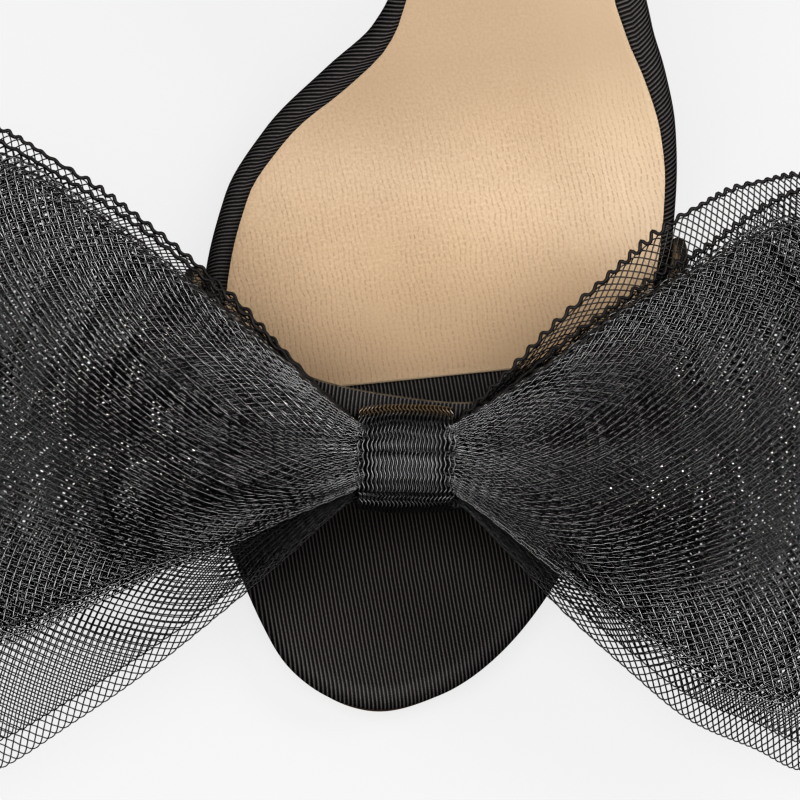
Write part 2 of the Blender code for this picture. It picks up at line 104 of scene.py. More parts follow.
def makeFloor():
    bm = bmesh.new()
    bmesh.ops.create_grid(bm, x_segments=2, y_segments=2, size=studio["floorSize"] / 2)
    mesh = bpy.data.meshes.new("floor")
    bm.to_mesh(mesh)
    bm.free()
    paint, _, shader = newMaterial("floorPaper", studio["floorColour"], 0.95)
    shader.inputs["Specular IOR Level"].default_value = 0.0
    shader.inputs["Emission Color"].default_value = (1, 1, 1, 1)
    shader.inputs["Emission Strength"].default_value = studio["floorGlow"]
    mesh.materials.append(paint)
    floor = addObject("floor", mesh)
    floor.visible_glossy = False  # keeps the filaments black


def makeLights():
    for name, lamp in lamps.items():
        data = bpy.data.lights.new(name, "AREA")
        data.shape = "RECTANGLE"
        data.size, data.size_y = lamp["size"]
        data.energy = lamp["power"]
        light = addObject(name, data)
        light.location = lamp["place"]
        away = Vector(lamp["place"]) - Vector(lamp["aim"])
        light.rotation_mode = "QUATERNION"
        light.rotation_quaternion = away.to_track_quat("Z", "Y")
    world = bpy.data.worlds.new("studio")
    world.use_nodes = True
    sky = world.node_tree.nodes["Background"]
    sky.inputs["Color"].default_value = (*studio["worldColour"], 1)
    sky.inputs["Strength"].default_value = studio["worldStrength"]
    bpy.context.scene.world = world
    bpy.context.scene.view_settings.view_transform = studio["viewTransform"]
    bpy.context.scene.view_settings.look = studio["look"]


# Small helpers for shader nodes


def newMaterial(name, colour, roughness):
    made = bpy.data.materials.new(name)
    made.use_nodes = True
    shader = made.node_tree.nodes["Principled BSDF"]
    shader.inputs["Base Color"].default_value = (*colour, 1)
    shader.inputs["Roughness"].default_value = roughness
    return made, made.node_tree, shader


def feed(tree, socket, value):
    if isinstance(value, (int, float)):
        socket.default_value = value
    else:
        tree.links.new(value, socket)


def calc(tree, operation, first, second=0.0):
    node = tree.nodes.new("ShaderNodeMath")
    node.operation = operation
    feed(tree, node.inputs[0], first)
    feed(tree, node.inputs[1], second)
    return node.outputs[0]


def scaled(tree, value, factor, base):
    return calc(tree, "ADD", calc(tree, "MULTIPLY", value, factor), base)


def blended(tree, first, firstShare, second, secondShare):
    return calc(tree, "ADD", calc(tree, "MULTIPLY", first, firstShare),
                calc(tree, "MULTIPLY", second, secondShare))


def waveOf(tree, value, perUnit):
    # A sine from 0 to 1, with perUnit waves in one unit
    sine = calc(tree, "SINE", calc(tree, "MULTIPLY", value, turnRound * perUnit))
    return scaled(tree, sine, 0.5, 0.5)


def between(tree, value, low, high):
    node = tree.nodes.new("ShaderNodeMapRange")
    node.interpolation_type = "SMOOTHSTEP"
    feed(tree, node.inputs["Value"], value)
    node.inputs["From Min"].default_value = low
    node.inputs["From Max"].default_value = high
    return node.outputs["Result"]


def ramp(tree, factor, stops):
    node = tree.nodes.new("ShaderNodeValToRGB")
    while len(node.color_ramp.elements) < len(stops):
        node.color_ramp.elements.new(1.0)
    for element, (place, colour) in zip(node.color_ramp.elements, stops):
        element.position = place
        element.color = (*colour, 1)
    feed(tree, node.inputs["Fac"], factor)
    return node.outputs["Color"]


def mixed(tree, factor, first, second):
    node = tree.nodes.new("ShaderNodeMix")
    node.data_type = "RGBA"
    feed(tree, node.inputs["Factor"], factor)
    for socket, value in ((node.inputs[6], first), (node.inputs[7], second)):
        if isinstance(value, tuple):
            socket.default_value = (*value, 1)
        else:
            tree.links.new(value, socket)
    return node.outputs[2]


def noise(tree, vector, scale, detail=2.0):
    node = tree.nodes.new("ShaderNodeTexNoise")
    tree.links.new(vector, node.inputs["Vector"])
    node.inputs["Scale"].default_value = scale
    node.inputs["Detail"].default_value = detail
    return node.outputs["Fac"]


def chance(tree, number):
    # The same random share for the same number
    node = tree.nodes.new("ShaderNodeTexWhiteNoise")
    node.noise_dimensions = "1D"
    tree.links.new(number, node.inputs["W"])
    return node.outputs["Value"]


def stretched(tree, vector, scale):
    node = tree.nodes.new("ShaderNodeMapping")
    tree.links.new(vector, node.inputs["Vector"])
    node.inputs["Scale"].default_value = scale
    return node.outputs["Vector"]


def clothUv(tree):
    # The piece's own map: ribs or millimetres across, millimetres along
    node = tree.nodes.new("ShaderNodeUVMap")
    node.uv_map = "cloth"
    parts = tree.nodes.new("ShaderNodeSeparateXYZ")
    tree.links.new(node.outputs["UV"], parts.inputs[0])
    return node.outputs["UV"], parts.outputs[0], parts.outputs[1]


def objectPlace(tree):
    return tree.nodes.new("ShaderNodeTexCoord").outputs["Object"]


def addRelief(tree, shader, height, distance, strength=1.0):
    node = tree.nodes.new("ShaderNodeBump")
    node.inputs["Distance"].default_value = distance * mm
    node.inputs["Strength"].default_value = strength
    tree.links.new(height, node.inputs["Height"])
    tree.links.new(node.outputs["Normal"], shader.inputs["Normal"])


# Finishes


ribbedCloth = dict(
    colour=(0.02, 0.017, 0.016), roughness=0.55, specular=0.2,
    driftStretch=(0.06, 0.12, 1), drift=0.5,  # how far the ribs wander
    threadPitch=0.28, threadHeight=0.16,  # mm along a rib, share of its height
    fleckStretch=(1.3, 2.2, 1), fleck=(0.8, 0.6), crestPower=1.6,
    # painted light and shade: from the dark grooves to the lit rib crests
    tones=[(0.0, (0.004, 0.0037, 0.0036)), (0.4, (0.031, 0.0285, 0.028)), (1.0, (0.098, 0.091, 0.089))],
    relief=(0.14, 0.9),  # mm, strength
)


def makeGrosgrain():
    # Rounded ribs with fine threads wound across them, with painted shade in the grooves and painted light on
    # the crests
    made, tree, shader = newMaterial("blackGrosgrain", ribbedCloth["colour"], ribbedCloth["roughness"])
    place, across, along = clothUv(tree)
    drift = noise(tree, stretched(tree, place, ribbedCloth["driftStretch"]), 1.0)
    rib = waveOf(tree, calc(tree, "ADD", across, calc(tree, "MULTIPLY", drift, ribbedCloth["drift"])), 1.0)
    thread = waveOf(tree, along, 1 / ribbedCloth["threadPitch"])
    fleck = noise(tree, stretched(tree, place, ribbedCloth["fleckStretch"]), 1.0, 3.0)
    # painted light on the rib crests, painted shade in the grooves
    crest = calc(tree, "POWER", rib, ribbedCloth["crestPower"])
    lit = calc(tree, "MULTIPLY", crest, scaled(tree, fleck, *ribbedCloth["fleck"]))
    tree.links.new(ramp(tree, lit, ribbedCloth["tones"]), shader.inputs["Base Color"])
    shader.inputs["Specular IOR Level"].default_value = ribbedCloth["specular"]
    height = calc(tree, "ADD", rib, calc(tree, "MULTIPLY", thread, ribbedCloth["threadHeight"]))
    addRelief(tree, shader, height, *ribbedCloth["relief"])
    return made


beigeLining = dict(
    colour=(0.405, 0.31, 0.222), roughness=0.5, uncreased=0.58, specular=0.4,
    # scale and detail of each noise
    cloud=(0.035, 3.0), grain=(1.9, 4.0), warp=(0.16, 2.0), patch=(0.09, 2.0),
    tones=[(0.3, (0.268, 0.203, 0.14)), (0.5, (0.328, 0.251, 0.176)), (0.7, (0.38, 0.295, 0.214))],
    # painted light and shade: across or along, where it starts and ends in mm, strength, colour
    paintedLightShade=[
        ("across", 46.0, 64.0, 0.7, (0.415, 0.33, 0.243)),  # painted light, paler towards the lateral edge
        ("along", 86.0, 60.0, 0.75, (0.262, 0.198, 0.136)),  # painted shade, darker towards the strap
        ("along", 96.0, 118.0, 0.6, (0.25, 0.188, 0.129)),  # painted shade, a little darker towards the heel
    ],
    poreColumn=0.88, poreRow=1.25, poreWarp=2.1,  # mm, mm, columns
    poreThin=(0.25, 0.04), poreLong=(0.46, 0.26), poreShare=(0.5, 0.4), poreStep=7.31,
    poresPatchy=(0.15, 0.5), poresFade=(122.0, 88.0), poreDepth=0.34, poreColour=(0.19, 0.125, 0.077),
    creaseStretch=(0.9, 0.07, 1), creases=(0.48, 0.7), creasedSide=(40.0, 58.0), creaseGloss=0.14,
    grainHeight=0.5, relief=(0.08, 0.8),  # mm, strength
)


def fromMiddle(tree, value):
    # How far a repeat's place is from its middle
    return calc(tree, "ABSOLUTE", calc(tree, "SUBTRACT", calc(tree, "FRACT", value), 0.5))


def makeSockLeather():
    # Smooth lining leather: cloudy tone, staggered dash-like pores, and a few soft glossy creases, with
    # painted light towards the lateral edge and painted shade towards the strap and the heel
    look = beigeLining
    made, tree, shader = newMaterial("beigeLeather", look["colour"], look["roughness"])
    place, across, along = clothUv(tree)
    cloud, grain, warp = (noise(tree, place, *look[key]) for key in ("cloud", "grain", "warp"))
    column = calc(tree, "ADD", calc(tree, "DIVIDE", across, look["poreColumn"]),
                  calc(tree, "MULTIPLY", warp, look["poreWarp"]))
    lane = calc(tree, "FLOOR", column)
    start = chance(tree, lane)
    row = calc(tree, "ADD", calc(tree, "DIVIDE", along, look["poreRow"]), calc(tree, "ADD", start, warp))
    dash = calc(tree, "MULTIPLY", between(tree, fromMiddle(tree, column), *look["poreThin"]),
                between(tree, fromMiddle(tree, row), *look["poreLong"]))
    which = calc(tree, "ADD", calc(tree, "MULTIPLY", lane, look["poreStep"]), calc(tree, "FLOOR", row))
    dash = calc(tree, "MULTIPLY", dash, scaled(tree, chance(tree, which), *look["poreShare"]))
    patch = between(tree, noise(tree, place, *look["patch"]), *look["poresPatchy"])
    near = between(tree, along, *look["poresFade"])  # pores fade towards the heel
    dash = calc(tree, "MULTIPLY", calc(tree, "MULTIPLY", dash, patch), near)
    base = ramp(tree, blended(tree, cloud, 0.4, grain, 0.6), look["tones"])
    # painted light and shade laid over the leather's own tone
    for way, low, high, strength, shade in look["paintedLightShade"]:
        towards = between(tree, across if way == "across" else along, low, high)
        base = mixed(tree, calc(tree, "MULTIPLY", towards, strength), base, shade)
    colour = mixed(tree, calc(tree, "MULTIPLY", dash, look["poreDepth"]), base, look["poreColour"])
    tree.links.new(colour, shader.inputs["Base Color"])
    streak = noise(tree, stretched(tree, place, look["creaseStretch"]), 1.0, 3.0)
    streak = between(tree, streak, *look["creases"])
    streak = calc(tree, "MULTIPLY", streak, between(tree, across, *look["creasedSide"]))
    gloss = calc(tree, "SUBTRACT", look["uncreased"], calc(tree, "MULTIPLY", streak, look["creaseGloss"]))
    tree.links.new(gloss, shader.inputs["Roughness"])
    shader.inputs["Specular IOR Level"].default_value = look["specular"]
    fine = blended(tree, grain, look["grainHeight"], streak, look["creaseGloss"])
    addRelief(tree, shader, calc(tree, "SUBTRACT", fine, dash), *look["relief"])
    return made


def makeStrapEdge(name, colour):
    # The strap's turned edge: bare leather at the back, and near-black along the toe side as painted shade
    made, tree, shader = newMaterial(name, colour, 0.7)
    _, _, down = clothUv(tree)
    fibre = noise(tree, stretched(tree, objectPlace(tree), (1500, 1500, 3500)), 1.0, 3.0)
    dark = tuple(c * 0.45 for c in colour)
    back = ramp(tree, fibre, [(0.35, dark), (0.65, colour)])
    # painted shade: the toe side of the edge is mixed to near-black
    tree.links.new(mixed(tree, between(tree, down, 2.0, 4.0), back, (0.003, 0.003, 0.003)),
                   shader.inputs["Base Color"])
    addRelief(tree, shader, fibre, 0.05, 0.6)
    return made


def makeSpeckled(name, colour, roughness, stretch, tones, relief):
    # A finish whose tone and relief both follow one fine noise
    made, tree, shader = newMaterial(name, colour, roughness)
    speck = noise(tree, stretched(tree, objectPlace(tree), stretch), 1.0, 3.0)
    tree.links.new(ramp(tree, speck, tones), shader.inputs["Base Color"])
    addRelief(tree, shader, speck, *relief)
    return made


def makeSkived(name, colour, spread):
    # The cut edge of a leather: fibres in long thin streaks
    dark = tuple(c * (1 - spread) for c in colour)
    light = tuple(min(c * (1 + spread), 1.0) for c in colour)
    return makeSpeckled(name, colour, 0.75, (900, 900, 3500), [(0.35, dark), (0.65, light)], (0.05, 0.6))


def makeSoleLeather():
    # Tan sole leather, scuffed a little, with fine grain
    made, tree, shader = newMaterial("soleLeather", (0.42, 0.25, 0.14), 0.5)
    place = objectPlace(tree)
    cloud = noise(tree, place, 45.0, 3.0)
    grain = noise(tree, place, 1400.0, 4.0)
    scuff = between(tree, noise(tree, stretched(tree, place, (260, 40, 260)), 1.0, 4.0), 0.56, 0.74)
    tone = blended(tree, cloud, 0.75, grain, 0.25)
    base = ramp(tree, tone, [(0.3, (0.30, 0.165, 0.085)), (0.7, (0.46, 0.28, 0.155))])
    colour = mixed(tree, calc(tree, "MULTIPLY", scuff, 0.35), base, (0.20, 0.115, 0.06))
    tree.links.new(colour, shader.inputs["Base Color"])
    tree.links.new(scaled(tree, scuff, 0.25, 0.42), shader.inputs["Roughness"])
    addRelief(tree, shader, grain, 0.05, 0.6)
    return made


# tones, gloss as factor and base, index, specular, coat and the coat's roughness
filaments = {
    "plainFilament": dict(
        tones=[(0.3, (0.002, 0.0018, 0.0019)), (0.7, (0.007, 0.0063, 0.0066))], gloss=(0.12, 0.1),
        index=1.5, specular=0.5, coat=0.25, coatRoughness=0.1),
    "blackFilament": dict(
        tones=[(0.3, (0.002, 0.0018, 0.0019)), (0.7, (0.007, 0.0063, 0.0066))], gloss=(0.12, 0.1),
        index=1.66, specular=1.0, coat=0.5, coatRoughness=0.1),
    "knotFilament": dict(
        tones=[(0.3, (0.005, 0.0047, 0.005)), (0.7, (0.018, 0.017, 0.0175))], gloss=(0.2, 0.26),
        index=1.5, specular=0.95, coat=1.0, coatRoughness=0.4, sockReflection=(0.07, 0.046, 0.022)),
}


def makeFilament(name):
    # Glossy black monofilament, a little uneven in tone and gloss
    look = filaments[name]
    made, tree, shader = newMaterial(name, (0.012, 0.011, 0.012), 0.3)
    uneven = noise(tree, objectPlace(tree), 900.0, 2.0)
    colour = ramp(tree, uneven, look["tones"])
    if "sockReflection" in look:
        # painted reflection: the beige sock's light, painted as a brown tint where the wrap turns down at its
        # heelward end
        tint = tree.nodes.new("ShaderNodeAttribute")
        tint.attribute_name = "sockReflectionEnd"
        colour = mixed(tree, tint.outputs["Fac"], colour, look["sockReflection"])
    tree.links.new(colour, shader.inputs["Base Color"])
    tree.links.new(scaled(tree, uneven, *look["gloss"]), shader.inputs["Roughness"])
    shader.inputs["IOR"].default_value = look["index"]
    shader.inputs["Specular IOR Level"].default_value = look["specular"]
    shader.inputs["Coat Weight"].default_value = look["coat"]
    shader.inputs["Coat Roughness"].default_value = look["coatRoughness"]
    return made


def makeEdgeCord():
    # Matt twisted thread along the tape's heelward edge
    tones = [(0.35, (0.005, 0.004, 0.004)), (0.7, (0.022, 0.018, 0.017))]
    return makeSpeckled("edgeCord", (0.012, 0.01, 0.01), 0.6, (1800, 1800, 1800), tones, (0.12, 0.8))


def makePackedMesh():
    # Packed mesh inside the knot: nearly black, with the strands below only hinted at
    tones = [(0.35, (0.002, 0.002, 0.002)), (0.7, (0.012, 0.011, 0.011))]
    return makeSpeckled("packedMesh", (0.006, 0.0055, 0.006), 0.7, (1600, 500, 800), tones, (0.2, 0.8))


def makeRubber():
    tones = [(0.3, (0.012, 0.012, 0.012)), (0.7, (0.03, 0.03, 0.03))]
    return makeSpeckled("blackRubber", (0.02, 0.02, 0.02), 0.6, (2600, 2600, 2600), tones, (0.04, 0.7))


# The sole's curve and outline, as the solids have them

sole = dict(
    toeY=-54.9,
    length=236.0,
    step=0.25,
    treadHeight=4.95,  # floor to the sole's middle surface
    flatStart=28.0,
    edgeRadius=2.65,
    gap=0.3,
    stations=44,  # the solids' own count, for the heel's breast
    breastStation=31,
    # distance from the toe, degrees of slope
    slopes=[(0, -8), (12, -5), (28, 0), (78, 0), (92, 14), (106, 34),
            (120, 46), (150, 48), (172, 33), (190, 19), (210, 14), (236, 14)],
    # distance from the toe, medial x, lateral x of the round edge's centre
    outline=[
        (3.4, 1.6, 1.6), (5.8, -6.9, 8.9), (9.5, -11.6, 13.9), (15.0, -15.6, 18.5),
        (21.6, -19.6, 22.4), (32.0, -25.2, 26.7), (48.0, -31.3, 31.2), (64.0, -34.7, 34.0),
        (81.0, -36.0, 35.2), (92.0, -35.1, 35.2), (103.5, -30.3, 34.6), (114.7, -21.9, 33.0),
        (123.7, -14.7, 30.2), (131.0, -12.0, 27.2), (145.0, -10.8, 23.6), (165.0, -13.2, 24.6),
        (188.0, -18.0, 27.4), (207.0, -19.6, 28.3), (221.0, -16.0, 25.0), (228.0, -9.6, 18.8),
        (231.5, 4.6, 4.6),
    ],
)


def smoothThrough(rows, column=1):
    # A curve through the rows that doesn't overshoot between them
    places = np.array([row[0] for row in rows], float)
    values = np.array([row[column] for row in rows], float)
    steps = np.diff(places)
    rises = np.diff(values) / steps
    sameWay = rises[:-1] * rises[1:] > 0
    both = np.where(sameWay, rises[:-1] + rises[1:], 1.0)
    inner = np.where(sameWay, 2 * rises[:-1] * rises[1:] / both, 0.0)
    slopes = np.concatenate([rises[:1], inner, rises[-1:]])

    def valueAt(place):
        place = np.clip(place, places[0], places[-1])
        i = np.clip(np.searchsorted(places, place, side="right") - 1, 0, len(steps) - 1)
        t = (place - places[i]) / steps[i]
        start = values[i] * (1 + 2 * t) * (1 - t) ** 2 + slopes[i] * steps[i] * t * (1 - t) ** 2
        end = values[i + 1] * t * t * (3 - 2 * t) - slopes[i + 1] * steps[i] * t * t * (1 - t)
        return start + end

    return valueAt


def eased(value, start, end):
    t = np.clip((value - start) / (end - start), 0.0, 1.0)
    return t * t * (3 - 2 * t)


slopeAt = smoothThrough(sole["slopes"])
profileS = np.arange(0, sole["length"] + sole["step"], sole["step"])
profileSlope = np.radians(slopeAt(profileS))
profileY = sole["toeY"] + sole["step"] * (np.cumsum(np.cos(profileSlope)) - 1)
profileZ = sole["step"] * np.cumsum(np.sin(profileSlope))
profileZ += sole["treadHeight"] - np.interp(sole["flatStart"], profileS, profileZ)


def onSole(s, x, n):
    # s along the sole, x across it and n above its middle surface, in mm
    slope = np.interp(s, profileS, profileSlope)
    y = np.interp(s, profileS, profileY) - n * np.sin(slope)
    z = np.interp(s, profileS, profileZ) + n * np.cos(slope)
    return np.stack(np.broadcast_arrays(x, y, z), axis=-1) * mm


firstS, lastS = sole["outline"][0][0], sole["outline"][-1][0]


def stationAngle(s):
    return np.arccos(np.clip(1 - 2 * (s - firstS) / (lastS - firstS), -1.0, 1.0))


angleRows = [(float(stationAngle(row[0])), row[1], row[2]) for row in sole["outline"]]
medialAt = smoothThrough(angleRows, 1)
lateralAt = smoothThrough(angleRows, 2)


def outlineRows(count, first=0.0, last=math.pi):
    # Medial and lateral edge points (s, x) from toe to heel, each with its outward direction
    angle = np.linspace(0, math.pi, count + 1)
    s = firstS + (lastS - firstS) * (1 - np.cos(angle)) / 2
    medial = np.stack([s, medialAt(angle)], axis=1)
    lateral = np.stack([s, lateralAt(angle)], axis=1)
    ring = np.concatenate([medial, lateral[-2:0:-1]])
    run = np.roll(ring, -1, axis=0) - np.roll(ring, 1, axis=0)
    run /= np.linalg.norm(run, axis=1)[:, None]
    outward = np.stack([run[:, 1], -run[:, 0]], axis=1)
    back = np.concatenate([[0], np.arange(len(ring) - 1, count, -1), [count]])
    kept = (angle >= first - 1e-9) & (angle <= last + 1e-9)
    return ring[: count + 1][kept], ring[back][kept], outward[: count + 1][kept], outward[back][kept]


def solePlaces(rows, share, out, n):
    # Each column is a share of the way across, moved out from the edge and up from the middle surface
    medial, lateral, outMedial, outLateral = rows
    left = medial[:, None] + outMedial[:, None] * out[None, :, None]
    right = lateral[:, None] + outLateral[:, None] * out[None, :, None]
    place = left + (right - left) * share[None, :, None]
    return place[..., 0], place[..., 1], onSole(place[..., 0], place[..., 1], n[None, :])


# Pieces


def finishPiece(name, bm, finishes, node, sharp=40):
    mesh = bpy.data.meshes.new(name)
    bm.to_mesh(mesh)
    bm.free()
    mesh.shade_smooth()
    mesh.set_sharp_from_angle(angle=math.radians(sharp))
    return dressPiece(name, mesh, finishes, node)


def dressPiece(name, mesh, finishes, node):
    for finish in finishes:
        mesh.materials.append(finish)
    piece = addObject(name, mesh)
    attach(piece, "root")
    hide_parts(node)
    return piece


def layGrid(places, cloth):
    # A grid of faces laid on rows of points, with its cloth map
    rows, columns = places.shape[:2]
    bm = bmesh.new()
    bmesh.ops.create_grid(bm, x_segments=columns - 1, y_segments=rows - 1, size=1)
    bm.verts.ensure_lookup_table()
    for vert, place in zip(bm.verts, places.reshape(-1, 3)):
        vert.co = place
    flat = cloth.reshape(-1, 2)
    layer = bm.loops.layers.uv.new("cloth")
    for face in bm.faces:
        for loop in face.loops:
            loop[layer].uv = flat[loop.vert.index]
    return bm


mergeWithin, thinnest = 0.002 * mm, 0.001 * mm


def closeSeams(bm):
    bmesh.ops.remove_doubles(bm, verts=bm.verts, dist=mergeWithin)
    bmesh.ops.dissolve_degenerate(bm, edges=bm.edges, dist=thinnest)
    bare = [edge for edge in bm.edges if edge.is_boundary]
    if bare:
        bmesh.ops.holes_fill(bm, edges=bare, sides=0)
    bmesh.ops.recalc_face_normals(bm, faces=bm.faces)


footbed = dict(
    rows=240,
    acrossSteps=30,
    roundSteps=14,
    toeRibPitch=0.65,  # mm
    rimRibPitch=(0.69, 0.78),  # medial, lateral
    ribLean=18.3,  # degrees that the toe's ribs lean outwards
    rimSlant=(0.0, -0.51),  # how far the rim's ribs run on for each step across it
    levelRibs=9.5,  # degrees from straight across, along the medial waist
    levelEnds=(138.0, 165.0),
    rimStarts=62.0,  # distance from the toe, under the strap
    rimBand=2.5,  # steps from the edge that take the rim's ribs
)


def ribPhase(x, y):
    lean = math.radians(footbed["ribLean"])
    return x * math.cos(lean) + y * math.sin(lean), y * math.cos(lean) - x * math.sin(lean)


def rimMap(rows, side, share, girth):
    # Ribs round the rim: level along the medial waist, and at a set slant to the edge elsewhere
    line, outward = rows[side], rows[side + 2]
    width = (rows[1][:, 1] - rows[0][:, 1]) * np.abs(outward[:, 1])
    across = girth[None, :] - np.abs(share - side)[None, :] * width[:, None]
    run = np.concatenate([[0], np.cumsum(np.linalg.norm(np.diff(line, axis=0), axis=1))])
    phase = run[:, None] + footbed["rimSlant"][side] * across
    if side == 0:
        lean = math.radians(footbed["levelRibs"])
        place = line[:, None] + outward[:, None] * across[..., None]
        level = place[..., 0] * math.cos(lean) - place[..., 1] * math.sin(lean)
        join = np.searchsorted(line[:, 0], sum(footbed["levelEnds"]) / 2)
        level += phase[join, 0] - level[join, 0]
        phase = level + eased(line[:, 0], *footbed["levelEnds"])[:, None] * (phase - level)
    return np.stack([phase / footbed["rimRibPitch"][side], girth[None, :] + 0 * phase], axis=-1)


def makeFootbed(finish):
    radius = sole["edgeRadius"]
    steps, turns = footbed["acrossSteps"], footbed["roundSteps"]
    flat = np.linspace(0, 1, steps + 1)
    turn = np.radians(np.linspace(90, -90, turns + 1))[1:-1]
    share = np.concatenate([flat, np.ones(turns - 1), flat[::-1], np.zeros(turns - 1), [0]])
    out = np.concatenate([0 * flat, radius * np.cos(turn), 0 * flat, radius * np.cos(turn), [0]])
    n = np.concatenate([0 * flat + radius, radius * np.sin(turn), 0 * flat - radius,
                        -radius * np.sin(turn), [radius]])
    girth = np.concatenate([0 * flat, radius * (math.pi / 2 - turn), 0 * flat + radius * math.pi,
                            radius * (math.pi / 2 + turn), [0]])
    rows = outlineRows(footbed["rows"])
    s, x, places = solePlaces(rows, share, out, n)
    across, along = ribPhase(x, places[..., 1] / mm)
    toeMap = np.stack([across / footbed["toeRibPitch"], along], axis=-1)
    rimMaps = [rimMap(rows, side, share, girth) for side in (0, 1)]
    edge = footbed["rimBand"] / steps
    onRim = s > footbed["rimStarts"]
    medial = onRim & (share < edge)[None, :]
    lateral = onRim & (share > 1 - edge)[None, :]
    cloth = np.where(medial[..., None], rimMaps[0], toeMap)
    cloth = np.where(lateral[..., None], rimMaps[1], cloth)
    bm = layGrid(places, cloth)
    closeSeams(bm)
    return finishPiece("footbed_cover", bm, [finish], "footbed")


outsole = dict(
    thickness=2.0, inset=2.2, chamfer=0.6, chamferBend=0.3,
    rows=200, acrossSteps=24,
    skived=0.85, skiveLength=16.0,  # thinned where it meets the heel
    edgeSlope=0.6,  # faces steeper than this take the edge's finish
)


def breastAngle():
    return math.pi * sole["breastStation"] / sole["stations"]


def makeOutsole(leather, edgeFinish):
    top = -sole["edgeRadius"] - sole["gap"]
    bottom = top - outsole["thickness"]
    chamfer = outsole["chamfer"]
    reach = sole["edgeRadius"] - outsole["inset"]
    flat = np.linspace(0, 1, outsole["acrossSteps"] + 1)
    bend = outsole["chamferBend"] * chamfer
    side = [(1, reach, bottom + chamfer), (1, reach - bend, bottom + bend)]
    columns = [(share, reach, top) for share in flat] + side
    columns += [(share, reach - chamfer, bottom) for share in flat[::-1]]
    columns += [(0, out, n) for _, out, n in side[::-1]] + [(0, reach, top)]
    share, out, n = np.array(columns).T
    rows = outlineRows(outsole["rows"], 0.0, breastAngle())
    s, x, _ = solePlaces(rows, share, out, n)
    end = s.max()
    skived = 1 - outsole["skived"] * eased(s, end - outsole["skiveLength"], end)
    bm = layGrid(onSole(s, x, top + (n[None, :] - top) * skived), np.stack([x, s], axis=-1))
    closeSeams(bm)
    for face in bm.faces:
        face.material_index = int(abs(face.normal.z) < outsole["edgeSlope"])
    return finishPiece("outsole_leather", bm, [leather, edgeFinish], "outsole")


sock = dict(
    thickness=0.7,
    # distance from the toe, how far the edge lies inside the footbed's round edge
    insetMedial=[(60, 1.3), (92, 1.6), (108, 1.45), (115, 1.9), (121, 1.5), (126, 1.0),
                 (130, 0.4), (145, 0.7), (190, 1.3), (232, 1.3)],
    insetLateral=[(60, -0.8), (97, -1.05), (106, -1.0), (114, -0.5), (120, 0.1), (126, 0.8), (132, 1.55),
                  (138, 2.1), (160, 1.7), (190, 1.3), (232, 1.3)],
    front=62.4, frontSlant=0.288, firstFull=80.0,
    rows=150, frontRows=16, acrossSteps=44, edgeRound=0.22,
)


def makeSock(leather, edgeFinish):
    medial, lateral, outMedial, outLateral = outlineRows(sock["rows"])
    lines = [line - outward * smoothThrough(sock[inset])(line[:, :1]) for line, outward, inset in (
        (medial, outMedial, "insetMedial"), (lateral, outLateral, "insetLateral"))]
    lines[1][0], lines[1][-1] = lines[0][0], lines[0][-1]
    whole = lines[0][:, 0] > sock["firstFull"]
    full = lines[0][whole][0, 0]
    sides = []
    for line in lines:
        s = sock["front"]
        for _ in range(3):  # settles on the slanted front
            s = sock["front"] + sock["frontSlant"] * np.interp(s, line[:, 0], line[:, 1])
        front = np.linspace(s, full, sock["frontRows"], endpoint=False)
        front = np.stack([front, np.interp(front, line[:, 0], line[:, 1])], axis=1)
        sides.append(np.concatenate([front, line[whole]]))
    share = np.linspace(0, 1, sock["acrossSteps"] + 1)
    place = sides[0][:, None] + (sides[1] - sides[0])[:, None] * share[None, :, None]
    s, x = place[..., 0], place[..., 1]
    beyond = np.clip(x - lateralAt(stationAngle(s)), 0, sole["edgeRadius"])
    low = np.sqrt(sole["edgeRadius"] ** 2 - beyond ** 2) + sole["gap"]  # bends down over the round edge
    across, along = ribPhase(x, s)
    bm = layGrid(onSole(s, x, low + sock["thickness"]), np.stack([across, along], axis=-1))
    bmesh.ops.remove_doubles(bm, verts=bm.verts, dist=mergeWithin)
    faceUp(bm)
    piece = finishPiece("leather_sock", bm, [leather, edgeFinish], "sock")
    wall = addWall(piece, sock["thickness"])
    wall.offset = -1
    wall.material_offset_rim = 1
    softenRim(piece, sock["edgeRound"])
    return piece


def faceUp(bm):
    bmesh.ops.recalc_face_normals(bm, faces=bm.faces)
    if sum(face.normal.z for face in bm.faces) < 0:
        bmesh.ops.reverse_faces(bm, faces=bm.faces)


def addWall(piece, thickness):
    wall = piece.modifiers.new("wall", "SOLIDIFY")
    wall.thickness = thickness * mm
    return wall


def softenRim(piece, width, finish=-1):
    rounding = piece.modifiers.new("rim", "BEVEL")
    rounding.material = finish
    rounding.width = width * mm
    rounding.segments = 2
    rounding.limit_method = "ANGLE"
    rounding.angle_limit = math.radians(50)


strap = dict(
    thickness=1.8, tuck=50.0, tuckSteps=6, archSteps=70, widthSteps=26, edgeRound=0.32,
    crown=21.0, crownRise=0.39, knotStation=34.9,
    widthPower=0.6, heightPower=0.8, bulgeLateral=7.3, bulgeMedial=4.0, bulgePower=6,
    # station at the crown, lateral sweep, medial sweep, power of the sweep
    frontEdge=(29.2, 31.2, 16.7, 1.5),
    backEdge=(46.7, 49.8, 32.3, 1.8),
    crowding=2.2,  # packs the columns at the steep sides
    ribPitch=0.66,
)


def strapEdge(edge, turn):
    crown, lateralSweep, medialSweep, power = edge
    fromSide = np.minimum(turn, 180 - turn) / 90
    return crown + np.where(turn < 90, lateralSweep, medialSweep) * (1 - fromSide) ** power


